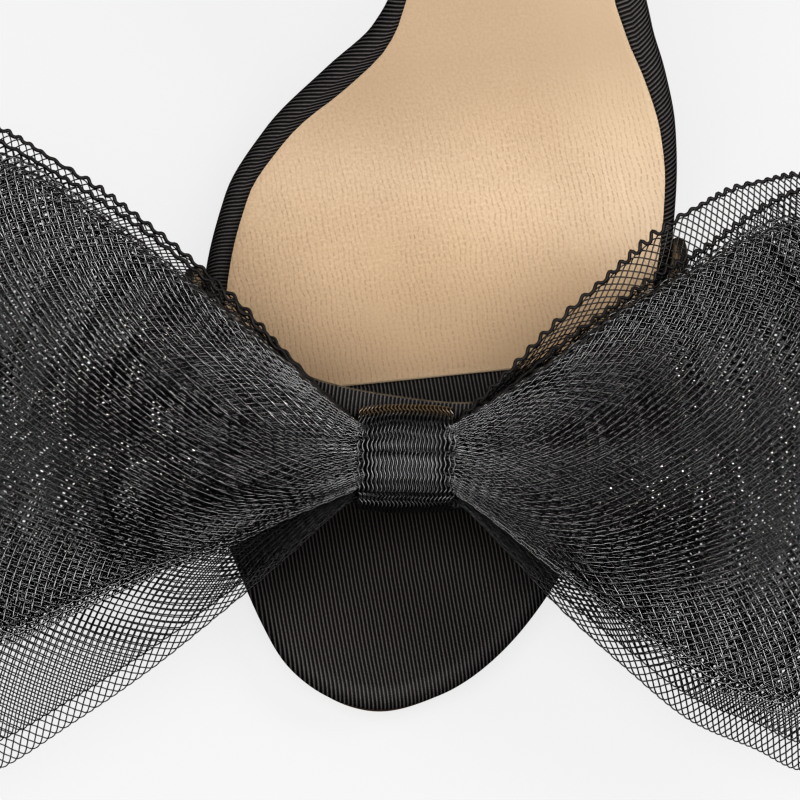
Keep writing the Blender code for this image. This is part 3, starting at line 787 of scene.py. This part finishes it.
def onLast(turn, s):
    # A point of the last's surface, with turn from 0 at the lateral side to 180 at the medial one
    angle = stationAngle(s)
    medial, lateral = medialAt(angle), lateralAt(angle)
    half = (lateral - medial) / 2 + sole["edgeRadius"] + sole["gap"]
    low = np.radians(np.minimum(turn, 180 - turn))
    bulge = np.where(turn < 90, strap["bulgeLateral"], strap["bulgeMedial"])
    wide = np.clip(np.cos(low), 0, 1)
    out = half * wide ** strap["widthPower"] + bulge * np.sin(2 * low) * wide ** strap["bulgePower"]
    crown = strap["crown"] + strap["crownRise"] * (s - strap["knotStation"])
    point = onSole(s, (medial + lateral) / 2 + np.where(turn < 90, out, -out), 0 * s)
    point[..., 2] += crown * np.sin(low) ** strap["heightPower"] * mm
    return point


def onTuck(lateral, tuck, s):
    # A point tuck degrees under the sole's round edge
    edge = (lateralAt if lateral else medialAt)(stationAngle(s))
    radius = sole["edgeRadius"] + sole["gap"]
    out = radius * np.cos(np.radians(tuck))
    return onSole(s, edge + (out if lateral else -out), -radius * np.sin(np.radians(tuck)))


def makeStrap(finish, lining, rim, line):
    q = np.linspace(0, 1, strap["archSteps"] + 1)
    half = 90 * (1 - (1 - q) ** strap["crowding"])
    turn = np.concatenate([half, 180 - half[-2::-1]])
    tuck = np.linspace(strap["tuck"], 0, strap["tuckSteps"], endpoint=False)
    share = np.linspace(1, 0, strap["widthSteps"] + 1)[:, None]

    def edgePlace(at):
        front = strapEdge(strap["frontEdge"], at)
        return front + share * (strapEdge(strap["backEdge"], at) - front)

    sides = [onTuck(True, tuck[None, :], edgePlace(np.array([0.0])))]
    sides.append(onLast(turn[None, :], edgePlace(turn[None, :])))
    sides.append(onTuck(False, tuck[None, ::-1], edgePlace(np.array([180.0]))))
    places = np.concatenate(sides, axis=1)
    steps = np.linalg.norm(np.diff(places, axis=1), axis=2) / mm
    run = np.concatenate([np.zeros((len(share), 1)), np.cumsum(steps, axis=1)], axis=1)
    run -= run[:, [run.shape[1] // 2]]
    down = np.linalg.norm(np.diff(places, axis=0), axis=2) / mm
    down = np.concatenate([np.zeros((1, places.shape[1])), np.cumsum(down, axis=0)])
    bm = layGrid(places, np.stack([run / strap["ribPitch"], down], axis=-1))
    faceUp(bm)
    piece = finishPiece("strap_upper", bm, [finish, lining, rim, line], "toe_strap")
    wall = addWall(piece, strap["thickness"])
    wall.offset = 1
    wall.use_even_offset = True
    wall.material_offset = 1
    wall.material_offset_rim = 2
    softenRim(piece, strap["edgeRound"], 3)
    return piece


heel = dict(
    tipX=4.4, tipY=141.0, tipLength=11.0, tipWidth=10.5, tipHeight=6.0, tipLip=0.25, tipRound=0.4,
    tipSides=64, tipSharp=30.0,  # degrees
    rows=132, breastSteps=16, levels=60, levelPower=1.4, ribPitch=0.7,
    ribLevel=20,  # the ribs are even round this level
    # drop, taper from seat to tip, how far the middle has moved over the tip
    shape=[(0.0, 0.0, 0.0), (0.04, 0.1, 0.08), (0.1, 0.28, 0.28), (0.2, 0.52, 0.56),
           (0.32, 0.7, 0.76), (0.5, 0.84, 0.92), (0.75, 0.95, 1.0), (1.0, 1.0, 1.0)],
)


def heelSeat(count):
    # The seat's outline from the breast round the back, in metres
    rows = outlineRows(count, breastAngle())
    reach = sole["edgeRadius"] - outsole["inset"]
    medial, lateral = rows[0] + rows[2] * reach, rows[1] + rows[3] * reach
    medial[0, 0] += sole["gap"]
    lateral[0, 0] = medial[0, 0]
    ring = np.concatenate([medial, lateral[-2::-1]])
    return onSole(ring[:, 0], ring[:, 1], np.array(-sole["edgeRadius"] - sole["gap"])), ring


def makeHeel(finish):
    middle = heelSeat(sole["stations"])[0].mean(axis=0)
    seat, ring = heelSeat(heel["rows"])
    front = np.linspace(ring[-1], ring[0], heel["breastSteps"] + 1)[1:]
    front = onSole(front[:, 0], front[:, 1], np.array(-sole["edgeRadius"] - sole["gap"]))
    seat = np.concatenate([seat, front])
    tipMiddle = np.array([heel["tipX"], heel["tipY"], heel["tipHeight"] + sole["gap"]]) * mm
    bearing = np.arctan2(seat[:, 0] - middle[0], seat[:, 1] - middle[1])
    tip = [heel["tipWidth"] / 2 * np.sin(bearing), heel["tipLength"] / 2 * np.cos(bearing), 0 * bearing]
    tip = np.stack(tip, axis=1)
    drop = np.linspace(0, 1, heel["levels"] + 1) ** heel["levelPower"]
    taper = smoothThrough(heel["shape"], 1)(drop)[:, None, None]
    setBack = smoothThrough(heel["shape"], 2)(drop)[:, None, None]
    rest = middle + (tipMiddle - middle) * setBack
    places = rest + (seat - middle)[None] * (1 - taper) + tip[None] * mm * taper
    places[..., 2] = seat[None, :, 2] + drop[:, None] * (tipMiddle[2] - seat[None, :, 2])
    belly = places[heel["ribLevel"]]
    run = np.concatenate([[0], np.cumsum(np.linalg.norm(np.diff(belly, axis=0), axis=1))]) / mm
    cloth = np.stack(np.broadcast_arrays(run[None, :] / heel["ribPitch"], places[..., 2] / mm), axis=-1)
    bm = layGrid(places, cloth)
    closeSeams(bm)
    return finishPiece("heel_cover", bm, [finish], "heel")


def makeHeelTip(finish):
    bm = bmesh.new()
    height = heel["tipHeight"] * mm
    bmesh.ops.create_cone(
        bm, cap_ends=True, segments=heel["tipSides"], radius1=0.5, radius2=0.5, depth=height)
    size = [(heel[key] + 2 * heel["tipLip"]) * mm for key in ("tipWidth", "tipLength")]
    bmesh.ops.scale(bm, vec=(*size, 1), verts=bm.verts)
    bmesh.ops.translate(bm, vec=(heel["tipX"] * mm, heel["tipY"] * mm, height / 2), verts=bm.verts)
    rim = [edge for edge in bm.edges if abs(edge.verts[0].co.z - edge.verts[1].co.z) < 1e-6]
    bmesh.ops.bevel(bm, geom=rim, offset=heel["tipRound"] * mm, segments=3, affect="EDGES",
                    profile=0.5, material=-1)
    return finishPiece("heel_top_piece", bm, [finish], "heel_tip", heel["tipSharp"])


# The bow: a frame on top of the strap, tapes of braided filament, and the wrap that gathers them

bow = dict(
    turn=9.5, tilt=20.0,  # degrees
    knotX=2.6, knotY=-20.2, knotLift=4.0,
    endLift=6.0, endReach=90.0, dish=4.5, dishWidth=60.0,
    pleatSlope=0.04, pleatSpread=28.0, pleatFades=(20.0, 58.0),
    opens=(10.0, 64.0), rounding=0.17, foldStretch=1.5, edgeClosing=0.5,
    runSteps=160, foldSteps=42,
)
knot = dict(
    width=15.5, length=18.5, rise=4.2, risePower=0.5, waist=0.06,
    crease=0.35, creaseWidth=0.7, creaseAt=0.48, sideDrop=1.3, sidePower=6,
    coreDrop=0.55, coreWide=0.96, coreEnds=(0.07, 0.935), coreSteps=(25, 41), coreRest=0.1,
    lanes=24, strand=0.185, ends=(0.05, 0.95), tail=5.0, tailSteps=9, tailRest=0.2,
    wave=2.0, swing=0.13, endSwing=0.28, roll=0.02,  # mm
    under=0.8, endRise=0.6,  # mm that every other filament lies deeper, and how much less at the ends
    openEnds=(0.1, 0.24, 0.8, 0.9),  # shares of the length over which the lanes open at the two ends
    phase=(21, 2.2, (8.0, 20.0)), wander=(22, 0.14, (4.0, 10.0)),  # seed, size, wave lengths
    # where the painted reflection of the sock lies: shares of the length, and mm from the heelward end
    reflectionShare=(0.07, 0.17), reflectionStarts=(-2.0, -0.4),
    curveSteps=300, steps=112, sides=4,
)
braid = dict(
    strand=0.148,  # mm, half a filament's thickness, unless a tape has its own
    sides=3,
    crimp=0.16,  # mm that a filament rises and dips at each crossing
    sunk=1.1, sunkFades=(24.0, 60.0),  # every other filament lies deeper near the knot
    insideKnot=1.9,  # mm that the tape runs on under the wrap
    spread=0.55, spreadFades=(14.0, 52.0),  # opens the middle near the knot and packs the edges
    bunching=0.25, bunchFades=(11.0, 46.0),
    crowds=(35.0, 62.0),  # reach over which the cells shorten towards the fold
    uneven=0.17, unevenLengths=(18.0, 55.0),  # mm that the filaments wander
    edgeHold=6.0,  # mm from an edge where they wander less
    ripple=0.3, rippleLengths=(22.0, 50.0), rippleStarts=(14.0, 40.0),
    shareFades=(56.0, 82.0),  # reach over which the upper layer's heelward edge moves out
    fill=0.55,  # share of the tape that its filaments' own area fills
)
# edges: reach, heelward edge and toeward edge of the under layer in the bow's plane
# cord: pitch of the edge cord's loops, how far they stand out, half its thickness
tapes = {
    "bow_loop_back_left": dict(
        side=-1, length=95.0, atKnot=(-2.4, -0.8), farOut=(-6.8, 1.0), upperShare=(0.95, 0.95, 0.92), seed=11,
        bunches=4, shorter=0.12, pitch=1.92, cell=0.93,
        cord=(3.1, 0.45, 0.3), strand=0.112,
        edges=[(0, 2.0, -2.0), (8, 6.4, -6.2), (20, 18.0, -16.5), (30, 28.4, -25.0), (42, 38.5, -35.0),
               (55, 47.6, -44.3), (68, 55.0, -52.7), (75, 57.0, -55.2), (80, 56.6, -55.0)],
    ),
    "bow_loop_back_right": dict(
        side=1, length=88.0, atKnot=(-2.4, -0.8), farOut=(-6.8, 1.0), upperShare=(0.8, 0.94, 0.92), seed=12,
        bunches=4, shorter=0.3, pitch=1.85, cell=0.93,
        cord=(2.9, 0.7, 0.3), strand=0.128,
        edges=[(0, 2.0, -2.0), (8, 6.2, -6.6), (18, 15.5, -16.5), (24, 21.7, -23.0), (36, 32.5, -34.4),
               (48, 41.8, -44.4), (58, 46.0, -48.9), (66, 47.2, -52.6), (74, 46.0, -52.4)],
    ),
    "bow_loop_front_left": dict(
        side=-1, length=88.0, atKnot=(0.8, 2.4), farOut=(3.4, 10.6), upperShare=(0.96, 0.96, 0.92), seed=13,
        bunches=3, shorter=0.0, pitch=1.85, cell=1.0, cord=(3.1, 0.25, 0.17),
        edges=[(0, 2.0, -2.0), (8, 6.0, -5.4), (20, 16.2, -10.8), (30, 24.6, -16.0), (42, 33.6, -21.0),
               (55, 43.0, -27.4), (66, 49.0, -32.6), (74, 50.0, -34.0)],
    ),
    "bow_loop_front_right": dict(
        side=1, length=81.0, atKnot=(0.8, 2.4), farOut=(3.4, 10.6), upperShare=(0.95, 0.95, 0.94), seed=14,
        bunches=3, shorter=0.0, pitch=1.85, cell=1.0, cord=(2.9, 0.3, 0.17),
        edges=[(0, 2.0, -2.0), (8, 5.6, -6.0), (24, 15.5, -18.6), (36, 24.5, -28.6), (48, 31.4, -38.0),
               (58, 37.0, -43.0), (64, 39.0, -44.6), (70, 38.8, -44.4)],
    ),
}


def strapTop(x, y):
    # Height of the strap's outside near its crown, in mm
    s = np.interp(y, profileY, profileS)
    angle = stationAngle(s)
    medial, lateral = medialAt(angle), lateralAt(angle)
    half = (lateral - medial) / 2 + sole["edgeRadius"] + sole["gap"]
    side = np.clip(np.abs(x - (medial + lateral) / 2) / half, 0, 1)
    low = np.arccos(side ** (1 / strap["widthPower"]))
    crown = strap["crown"] + strap["crownRise"] * (s - strap["knotStation"])
    lining = np.interp(s, profileS, profileZ) + crown * np.sin(low) ** strap["heightPower"]
    return lining + strap["thickness"] / math.cos(math.atan(strap["crownRise"]))


bowTurn, bowTilt = math.radians(bow["turn"]), math.radians(bow["tilt"])
bowRight = np.array([math.cos(bowTurn), math.sin(bowTurn), 0])
bowRear = np.array([-math.sin(bowTurn), math.cos(bowTurn), 0])
bowHeelward = bowRear * math.cos(bowTilt) + np.array([0, 0, math.sin(bowTilt)])
bowUp = np.array([0, 0, math.cos(bowTilt)]) - bowRear * math.sin(bowTilt)
knotHeight = strapTop(bow["knotX"], bow["knotY"]) + bow["knotLift"] / math.cos(bowTilt)
knotPlace = np.array([bow["knotX"], bow["knotY"], float(knotHeight)])


def onBow(right, heelward, up):
    right, heelward, up = np.broadcast_arrays(right, heelward, up)
    place = knotPlace + right[..., None] * bowRight + heelward[..., None] * bowHeelward
    return (place + up[..., None] * bowUp) * mm


def bowSweep(out, heelward):
    # How far every layer is lifted off the bow's plane
    reach = np.hypot(out, heelward)
    angle = np.degrees(np.arctan2(heelward, out))
    pleat = bow["pleatSlope"] * reach * (1 - eased(reach, *bow["pleatFades"]))
    lift = bow["endLift"] * (out / bow["endReach"]) ** 2
    dish = bow["dish"] * (heelward / bow["dishWidth"]) ** 2
    return lift + dish + pleat * np.cos(turnRound * angle / bow["pleatSpread"])


def unevenField(seed, size, lengths, count=5):
    # A smooth wandering field over a tape, from a few sine waves
    draw = np.random.default_rng(seed)
    turn, phase = draw.uniform(0, turnRound, (2, count))
    length = draw.uniform(*lengths, count)

    def fieldAt(along, across):
        total = 0.0
        for i in range(count):
            way = along * math.cos(turn[i]) + across * math.sin(turn[i])
            total = total + np.sin(turnRound * way / length[i] + phase[i])
        return total * size / count

    return fieldAt


def tapeSurface(tape):
    # Where a loop's tape lies: out from the knot on the under layer, round the fold, back on the upper one
    atKnot, farOut = tape["atKnot"], tape["farOut"]
    middle, radius = (farOut[0] + farOut[1]) / 2, (farOut[1] - farOut[0]) / 2
    start = knot["width"] / 2 - braid["insideKnot"]
    foldStart = tape["length"] - radius * bow["foldStretch"]
    run = np.linspace(start, foldStart, bow["runSteps"])
    opened = eased(run, *bow["opens"])
    under = atKnot[0] + opened * (farOut[0] - atKnot[0])
    upper = atKnot[1] + opened * (farOut[1] - atKnot[1])
    turn = np.linspace(0, math.pi, bow["foldSteps"])[1:-1]
    reachOf = np.concatenate([run, foldStart + radius * bow["foldStretch"] * np.sin(turn), run[::-1]])
    heightOf = np.concatenate([under, middle - radius * np.cos(turn), upper[::-1]])
    layerOf = np.concatenate([0 * run, turn / math.pi, 0 * run + 1])
    steps = np.hypot(np.diff(reachOf), np.diff(heightOf))
    crowd = 1 - tape["shorter"] * eased((reachOf[1:] + reachOf[:-1]) / 2, *braid["crowds"])
    alongOf = np.concatenate([[0], np.cumsum(steps / (crowd * tape["cell"]))])
    heelwardEdge, toewardEdge = smoothThrough(tape["edges"], 1), smoothThrough(tape["edges"], 2)
    widest = max(row[1] - row[2] for row in tape["edges"])
    pitch = tape["pitch"]
    cells = round(widest / pitch)
    width = cells * pitch
    wander = unevenField(tape["seed"], braid["uneven"], braid["unevenLengths"])
    drift = unevenField(tape["seed"] + 50, braid["uneven"], braid["unevenLengths"])
    ripple = unevenField(tape["seed"] + 90, braid["ripple"], braid["rippleLengths"])

    def surface(along, across, deeper=0.0):
        free = np.clip(np.minimum(across, width - across) / braid["edgeHold"], 0.0, 1.0)
        a = along + wander(along, across)
        w = across + free * drift(along, across)
        reach = np.interp(a, alongOf, reachOf)
        height = np.interp(a, alongOf, heightOf)
        layer = np.interp(a, alongOf, layerOf)
        v = 2 * (w - pitch / 2) / (width - pitch) - 1
        gathered = 1 - eased(reach, *braid["bunchFades"])
        turns = math.pi * tape["bunches"]
        v = v + gathered * braid["bunching"] * np.sin(turns * (v + 1)) / turns
        packed = 1 - eased(reach, *braid["spreadFades"])
        v = v + packed * braid["spread"] * np.sin(math.pi * np.clip(v, -1, 1)) / math.pi
        closing = bow["edgeClosing"] * eased(reach, *bow["opens"])
        edgeReach = reach * (1 - bow["rounding"])
        near, far, toeward = tape["upperShare"]
        heelShare = near + (far - near) * eased(reach, *braid["shareFades"])
        high = heelwardEdge(edgeReach) * (1 + (heelShare - 1) * layer)
        low = toewardEdge(edgeReach) * (1 + (toeward - 1) * layer)
        out = np.maximum(reach * (1 - bow["rounding"] * v * v), start)
        heelward = low + (high - low) * (v + 1) / 2
        up = height + closing * v * v * (middle - height) + bowSweep(out, heelward)
        up = up + ripple(along, across) * eased(reach, *braid["rippleStarts"])
        up = up - deeper * braid["sunk"] * (1 - eased(reach, *braid["sunkFades"]))
        return onBow(tape["side"] * out, heelward, up)

    return surface, alongOf[-1], cells, width, float(steps.sum())


def surfaceNormals(surface, along, across, side=1):
    step = 0.15
    run = surface(along + step, across) - surface(along - step, across)
    cut = surface(along, across + step) - surface(along, across - step)
    normal = np.cross(run, cut) * side
    return normal / np.maximum(np.linalg.norm(normal, axis=-1, keepdims=True), 1e-12)


def braidPaths(length, cells, pitch):
    # Zigzag filaments: along, across, and how far over or under each one passes
    width = cells * pitch
    paths = []
    for j in range(2 * cells):
        start = j * pitch
        along = np.arange(0, length, pitch / 2)
        turns = np.arange(1, int((length + start) / width) + 2) * width - start
        close = turns[:, None] + pitch * np.array([-0.75, -0.25, 0.25, 0.75])
        along = np.unique(np.round(np.concatenate([along, close[(close > 0) & (close < length)]]), 4))
        zig = (along + start) % (2 * width)
        down = zig > width
        across = np.where(down, 2 * width - zig, zig)
        edge = np.minimum(across, width - across)
        over = np.cos(turnRound * along / pitch) * np.where(down, -1, 1) * np.clip(2 * edge / pitch, 0, 1)
        rounded = np.where(edge < pitch, 0.5 * pitch + 0.5 * edge * edge / pitch, edge)
        across = np.where(across < width / 2, rounded, width - rounded)
        paths.append((along, across, over))
    return paths


def tubes(paths, normals, thickness, sides):
    # One thin prism along every path, as joined arrays of points and faces
    points, faces, base = [], [], 0
    turn = np.arange(sides) * turnRound / sides
    for path, normal in zip(paths, normals):
        run = np.gradient(path, axis=0)
        run /= np.maximum(np.linalg.norm(run, axis=1, keepdims=True), 1e-12)
        beside = np.cross(run, normal)
        beside /= np.maximum(np.linalg.norm(beside, axis=1, keepdims=True), 1e-12)
        above = np.cross(beside, run)
        ring = above[:, None] * np.cos(turn)[None, :, None] + beside[:, None] * np.sin(turn)[None, :, None]
        points.append((path[:, None] + ring * thickness * mm).reshape(-1, 3))
        first = base + np.arange(len(path) - 1)[:, None] * sides + np.arange(sides)[None, :]
        second = base + np.arange(len(path) - 1)[:, None] * sides + (np.arange(sides)[None, :] + 1) % sides
        faces += np.stack([first, first + sides, second + sides, second], axis=-1).reshape(-1, 4).tolist()
        last = base + (len(path) - 1) * sides
        faces.append([base + i for i in range(sides)])
        faces.append([last + sides - 1 - i for i in range(sides)])
        base += len(path) * sides
    return np.concatenate(points), faces


def strandMesh(name, groups):
    # groups are (points, faces); each gets its own material
    mesh = bpy.data.meshes.new(name)
    points = np.concatenate([group[0] for group in groups])
    faces, slots, base = [], [], 0
    for i, group in enumerate(groups):
        faces += [[corner + base for corner in face] for face in group[1]] if base else group[1]
        slots += [i] * len(group[1])
        base += len(group[0])
    mesh.from_pydata(points, [], faces)
    mesh.polygons.foreach_set("material_index", slots)
    mesh.shade_smooth()
    return mesh


turnInside = dict(
    seedStep=20, shorter=4.0, pitch=1.74, cell=1.36, strand=0.2,
    atKnot=0.35, farOut=1.3,  # mm inside each layer
    heelward=0.97, toeward=0.965,  # share of the width
)
edgeCord = dict(
    steps=9, sides=4, inward=0.5,
    uneven=(9.0, 30.0), drift=3.0, peak=1.6, sunk=0.1, roll=0.06,
)


def innerTurn(tape):
    # The front tape is wound three times: each turn lies a little inside the one before
    inner = dict(tape, seed=tape["seed"] + turnInside["seedStep"])
    inner["length"] -= turnInside["shorter"]
    for key in ("pitch", "cell", "strand"):
        inner[key] = turnInside[key]
    for key in ("atKnot", "farOut"):
        inner[key] = (tape[key][0] + turnInside[key], tape[key][1] - turnInside[key])
    heelward, toeward = turnInside["heelward"], turnInside["toeward"]
    inner["edges"] = [(reach, high * heelward, low * toeward) for reach, high, low in tape["edges"]]
    return inner


def layCord(tape, surface, length, width):
    # The looped cord along the tape's heelward edge
    pitch, reach, thickness = tape["cord"]
    along = np.arange(0, length, pitch / edgeCord["steps"])
    edge = np.full_like(along, width - tape["pitch"] / 2)
    normal = surfaceNormals(surface, along, edge, tape["side"])
    outward = surface(along, edge) - surface(along, edge - edgeCord["inward"])
    outward /= np.linalg.norm(outward, axis=1, keepdims=True)
    uneven = unevenField(tape["seed"] + 7, 1.0, edgeCord["uneven"])(along, 0)
    swing = turnRound * along / pitch + edgeCord["drift"] * uneven
    bump = (0.5 + 0.5 * np.sin(swing)) ** edgeCord["peak"] * reach * (1 + uneven) - edgeCord["sunk"]
    cord = surface(along, edge) + outward * (bump * mm)[:, None]
    cord += normal * (edgeCord["roll"] * np.cos(swing) * mm)[:, None]
    return tubes([cord], [normal], thickness, edgeCord["sides"])


def makeLoop(name, node, tape, filament, cordFinish):
    surface, length, cells, width, tapeLength = tapeSurface(tape)
    strands = braidPaths(length, cells, tape["pitch"])
    sizes = [len(strand[0]) for strand in strands]
    counts = np.cumsum(sizes)[:-1]
    along, across, over = (np.concatenate([strand[i] for strand in strands]) for i in range(3))
    normals = surfaceNormals(surface, along, across, tape["side"])
    deeper = np.repeat(np.arange(len(strands)) % 2, sizes)
    places = surface(along, across, deeper) + normals * (over * braid["crimp"] * mm)[:, None]
    strand = tape.get("strand", braid["strand"])
    mesh = tubes(np.split(places, counts), np.split(normals, counts), strand, braid["sides"])
    cordMesh = layCord(tape, surface, length, width)
    piece = dressPiece(name, strandMesh(name, [mesh, cordMesh]), [filament, cordFinish], node)
    triangles = sum(len(face) - 2 for face in mesh[1] + cordMesh[1])
    print(f"{name}: {len(strands)} filaments on {width:.0f} x {tapeLength:.0f} mm, {triangles} triangles")
    return piece


def underKnot(right, heelward):
    # How far below the knot's middle the strap lies
    at = knotPlace + np.multiply.outer(right, bowRight) + np.multiply.outer(heelward, bowHeelward)
    at = at - bowUp * bow["knotLift"]
    drop = (strapTop(at[..., 0], at[..., 1]) - at[..., 2]) * math.cos(bowTilt)
    return -bow["knotLift"] + drop + sole["gap"]


def knotTop(share):
    crease = np.exp(-(((share - knot["creaseAt"]) * knot["length"] / knot["creaseWidth"]) ** 2))
    arch = np.sin(math.pi * np.clip(share, 0, 1)) ** knot["risePower"]
    return knot["rise"] * arch - knot["crease"] * crease


def onKnot(across, share, lift):
    # across from -1 to 1 and share from the heelward end 0 to the toeward end 1
    fullness = 1 - knot["waist"] * across * across
    right = across * knot["width"] / 2
    heelward = knot["length"] * fullness * (0.5 - share)
    floor = underKnot(right, heelward)
    up = np.maximum(knotTop(share) * fullness, floor + sole["gap"])
    return right, heelward, up + lift - knot["sideDrop"] * np.abs(across) ** knot["sidePower"], floor


def makeKnotCore(finish):
    acrossSteps, alongSteps = knot["coreSteps"]
    first, last = knot["coreEnds"]
    across = np.linspace(-1, 1, acrossSteps)[:, None] * knot["coreWide"]
    share = 0.5 - 0.5 * np.cos(np.linspace(0, math.pi, alongSteps))[None, :]
    share = first + (last - first) * share
    right, heelward, up, floor = onKnot(across + 0 * share, share + 0 * across, -knot["coreDrop"])
    top = onBow(right, heelward, np.maximum(up, floor + knot["coreRest"]))
    bottom = onBow(right, heelward, floor)[:, ::-1]
    places = np.concatenate([top, bottom, top[:, :1]], axis=1)
    bm = layGrid(places, places[..., :2] / mm)
    closeSeams(bm)
    return finishPiece("knot_core", bm, [finish], "bow_knot")


def makeKnotWrap(finish):
    # The gathered tape round the knot: wavy filaments side by side, and others showing between them
    first, last = knot["ends"]
    share = first + (last - first) * (0.5 - 0.5 * np.cos(np.linspace(0, math.pi, knot["curveSteps"])))
    _, heelward, up, _ = onKnot(np.zeros_like(share), share, 0.0)
    run = np.concatenate([[0], np.cumsum(np.hypot(np.diff(heelward), np.diff(up)))])
    pitch = knot["width"] / knot["lanes"]
    phase = unevenField(*knot["phase"])
    wander = unevenField(*knot["wander"])

    def surface(along, across):
        across = np.clip(across / (knot["width"] / 2), -1, 1)
        right, heelward, up, floor = onKnot(across, np.interp(along, run, share), 0.0)
        tail = np.clip(np.maximum(-along, along - run[-1]) / knot["tail"], 0, 1)
        return onBow(right, heelward, up - tail * (up - floor - knot["tailRest"]))

    # both ends turn down to the strap
    tail = np.linspace(0, knot["tail"], knot["tailSteps"])[1:]
    along = np.concatenate([-tail[::-1], np.linspace(0, run[-1], knot["steps"]), run[-1] + tail])
    end = np.interp(along, run, share)
    atEnd = 1 - eased(end, *knot["openEnds"][:2]) + eased(end, *knot["openEnds"][2:])
    swing = knot["swing"] + (knot["endSwing"] - knot["swing"]) * atEnd
    paths, normals = [], []
    for i in range(2 * knot["lanes"]):
        lower = i % 2
        lane = (i / 2 + 0.25) * pitch - knot["width"] / 2
        turn = turnRound * along / knot["wave"] + phase(along, lane) + math.pi * lower * atEnd
        across = lane + swing * np.sin(turn) + wander(along, lane)
        normal = -surfaceNormals(surface, along, across)
        lift = knot["roll"] * np.cos(turn) - knot["under"] * lower * (1 - knot["endRise"] * atEnd)
        paths.append(surface(along, across) + normal * (lift * mm)[:, None])
        normals.append(normal)
    points, faces = tubes(paths, normals, knot["strand"], knot["sides"])
    mesh = strandMesh("knot_wrap", [(points, faces)])
    # painted reflection of the beige sock on the wrap's heelward end
    sockReflection = (1 - eased(end, *knot["reflectionShare"])) * eased(along, *knot["reflectionStarts"])
    sockReflection = np.tile(sockReflection, len(paths))
    tint = mesh.attributes.new("sockReflectionEnd", "FLOAT", "POINT")
    tint.data.foreach_set("value", np.repeat(sockReflection, knot["sides"]))
    piece = dressPiece("knot_wrap", mesh, [finish], "bow_knot")
    print(f"knot_wrap: {len(paths)} filaments, {len(faces)} faces")
    return piece


makeCamera()
makeFloor()
makeLights()
print("camera, floor and lights set")

grosgrain = makeGrosgrain()
sockLeather = makeSockLeather()
paleEdge = makeSkived("paleCutEdge", (0.48, 0.39, 0.29), 0.12)
rimEdge = makeStrapEdge("strapRim", (0.03, 0.022, 0.016))
lineEdge = makeStrapEdge("strapEdgeLine", (0.095, 0.076, 0.052))
darkEdge = makeSkived("darkSoleEdge", (0.06, 0.035, 0.022), 0.4)
backFilament = makeFilament("plainFilament")
frontFilament = makeFilament("blackFilament")
print("finishes made")

makeFootbed(grosgrain)
makeOutsole(makeSoleLeather(), darkEdge)
makeSock(sockLeather, paleEdge)
makeStrap(grosgrain, sockLeather, rimEdge, lineEdge)
makeHeel(grosgrain)
makeHeelTip(makeRubber())
print("sole, sock, strap and heel made")

makeKnotCore(makePackedMesh())
makeKnotWrap(makeFilament("knotFilament"))
cordFinish = makeEdgeCord()
for node, tape in tapes.items():
    name = node.replace("bow_loop", "mesh_loop")
    if "back" in node:
        makeLoop(name, node, tape, backFilament, cordFinish)
        continue
    makeLoop(name, node, tape, frontFilament, cordFinish)
    makeLoop(name + "_inner", node, innerTurn(tape), frontFilament, cordFinish)
    makeLoop(name + "_innermost", node, innerTurn(innerTurn(tape)), frontFilament, cordFinish)
print("bow made")
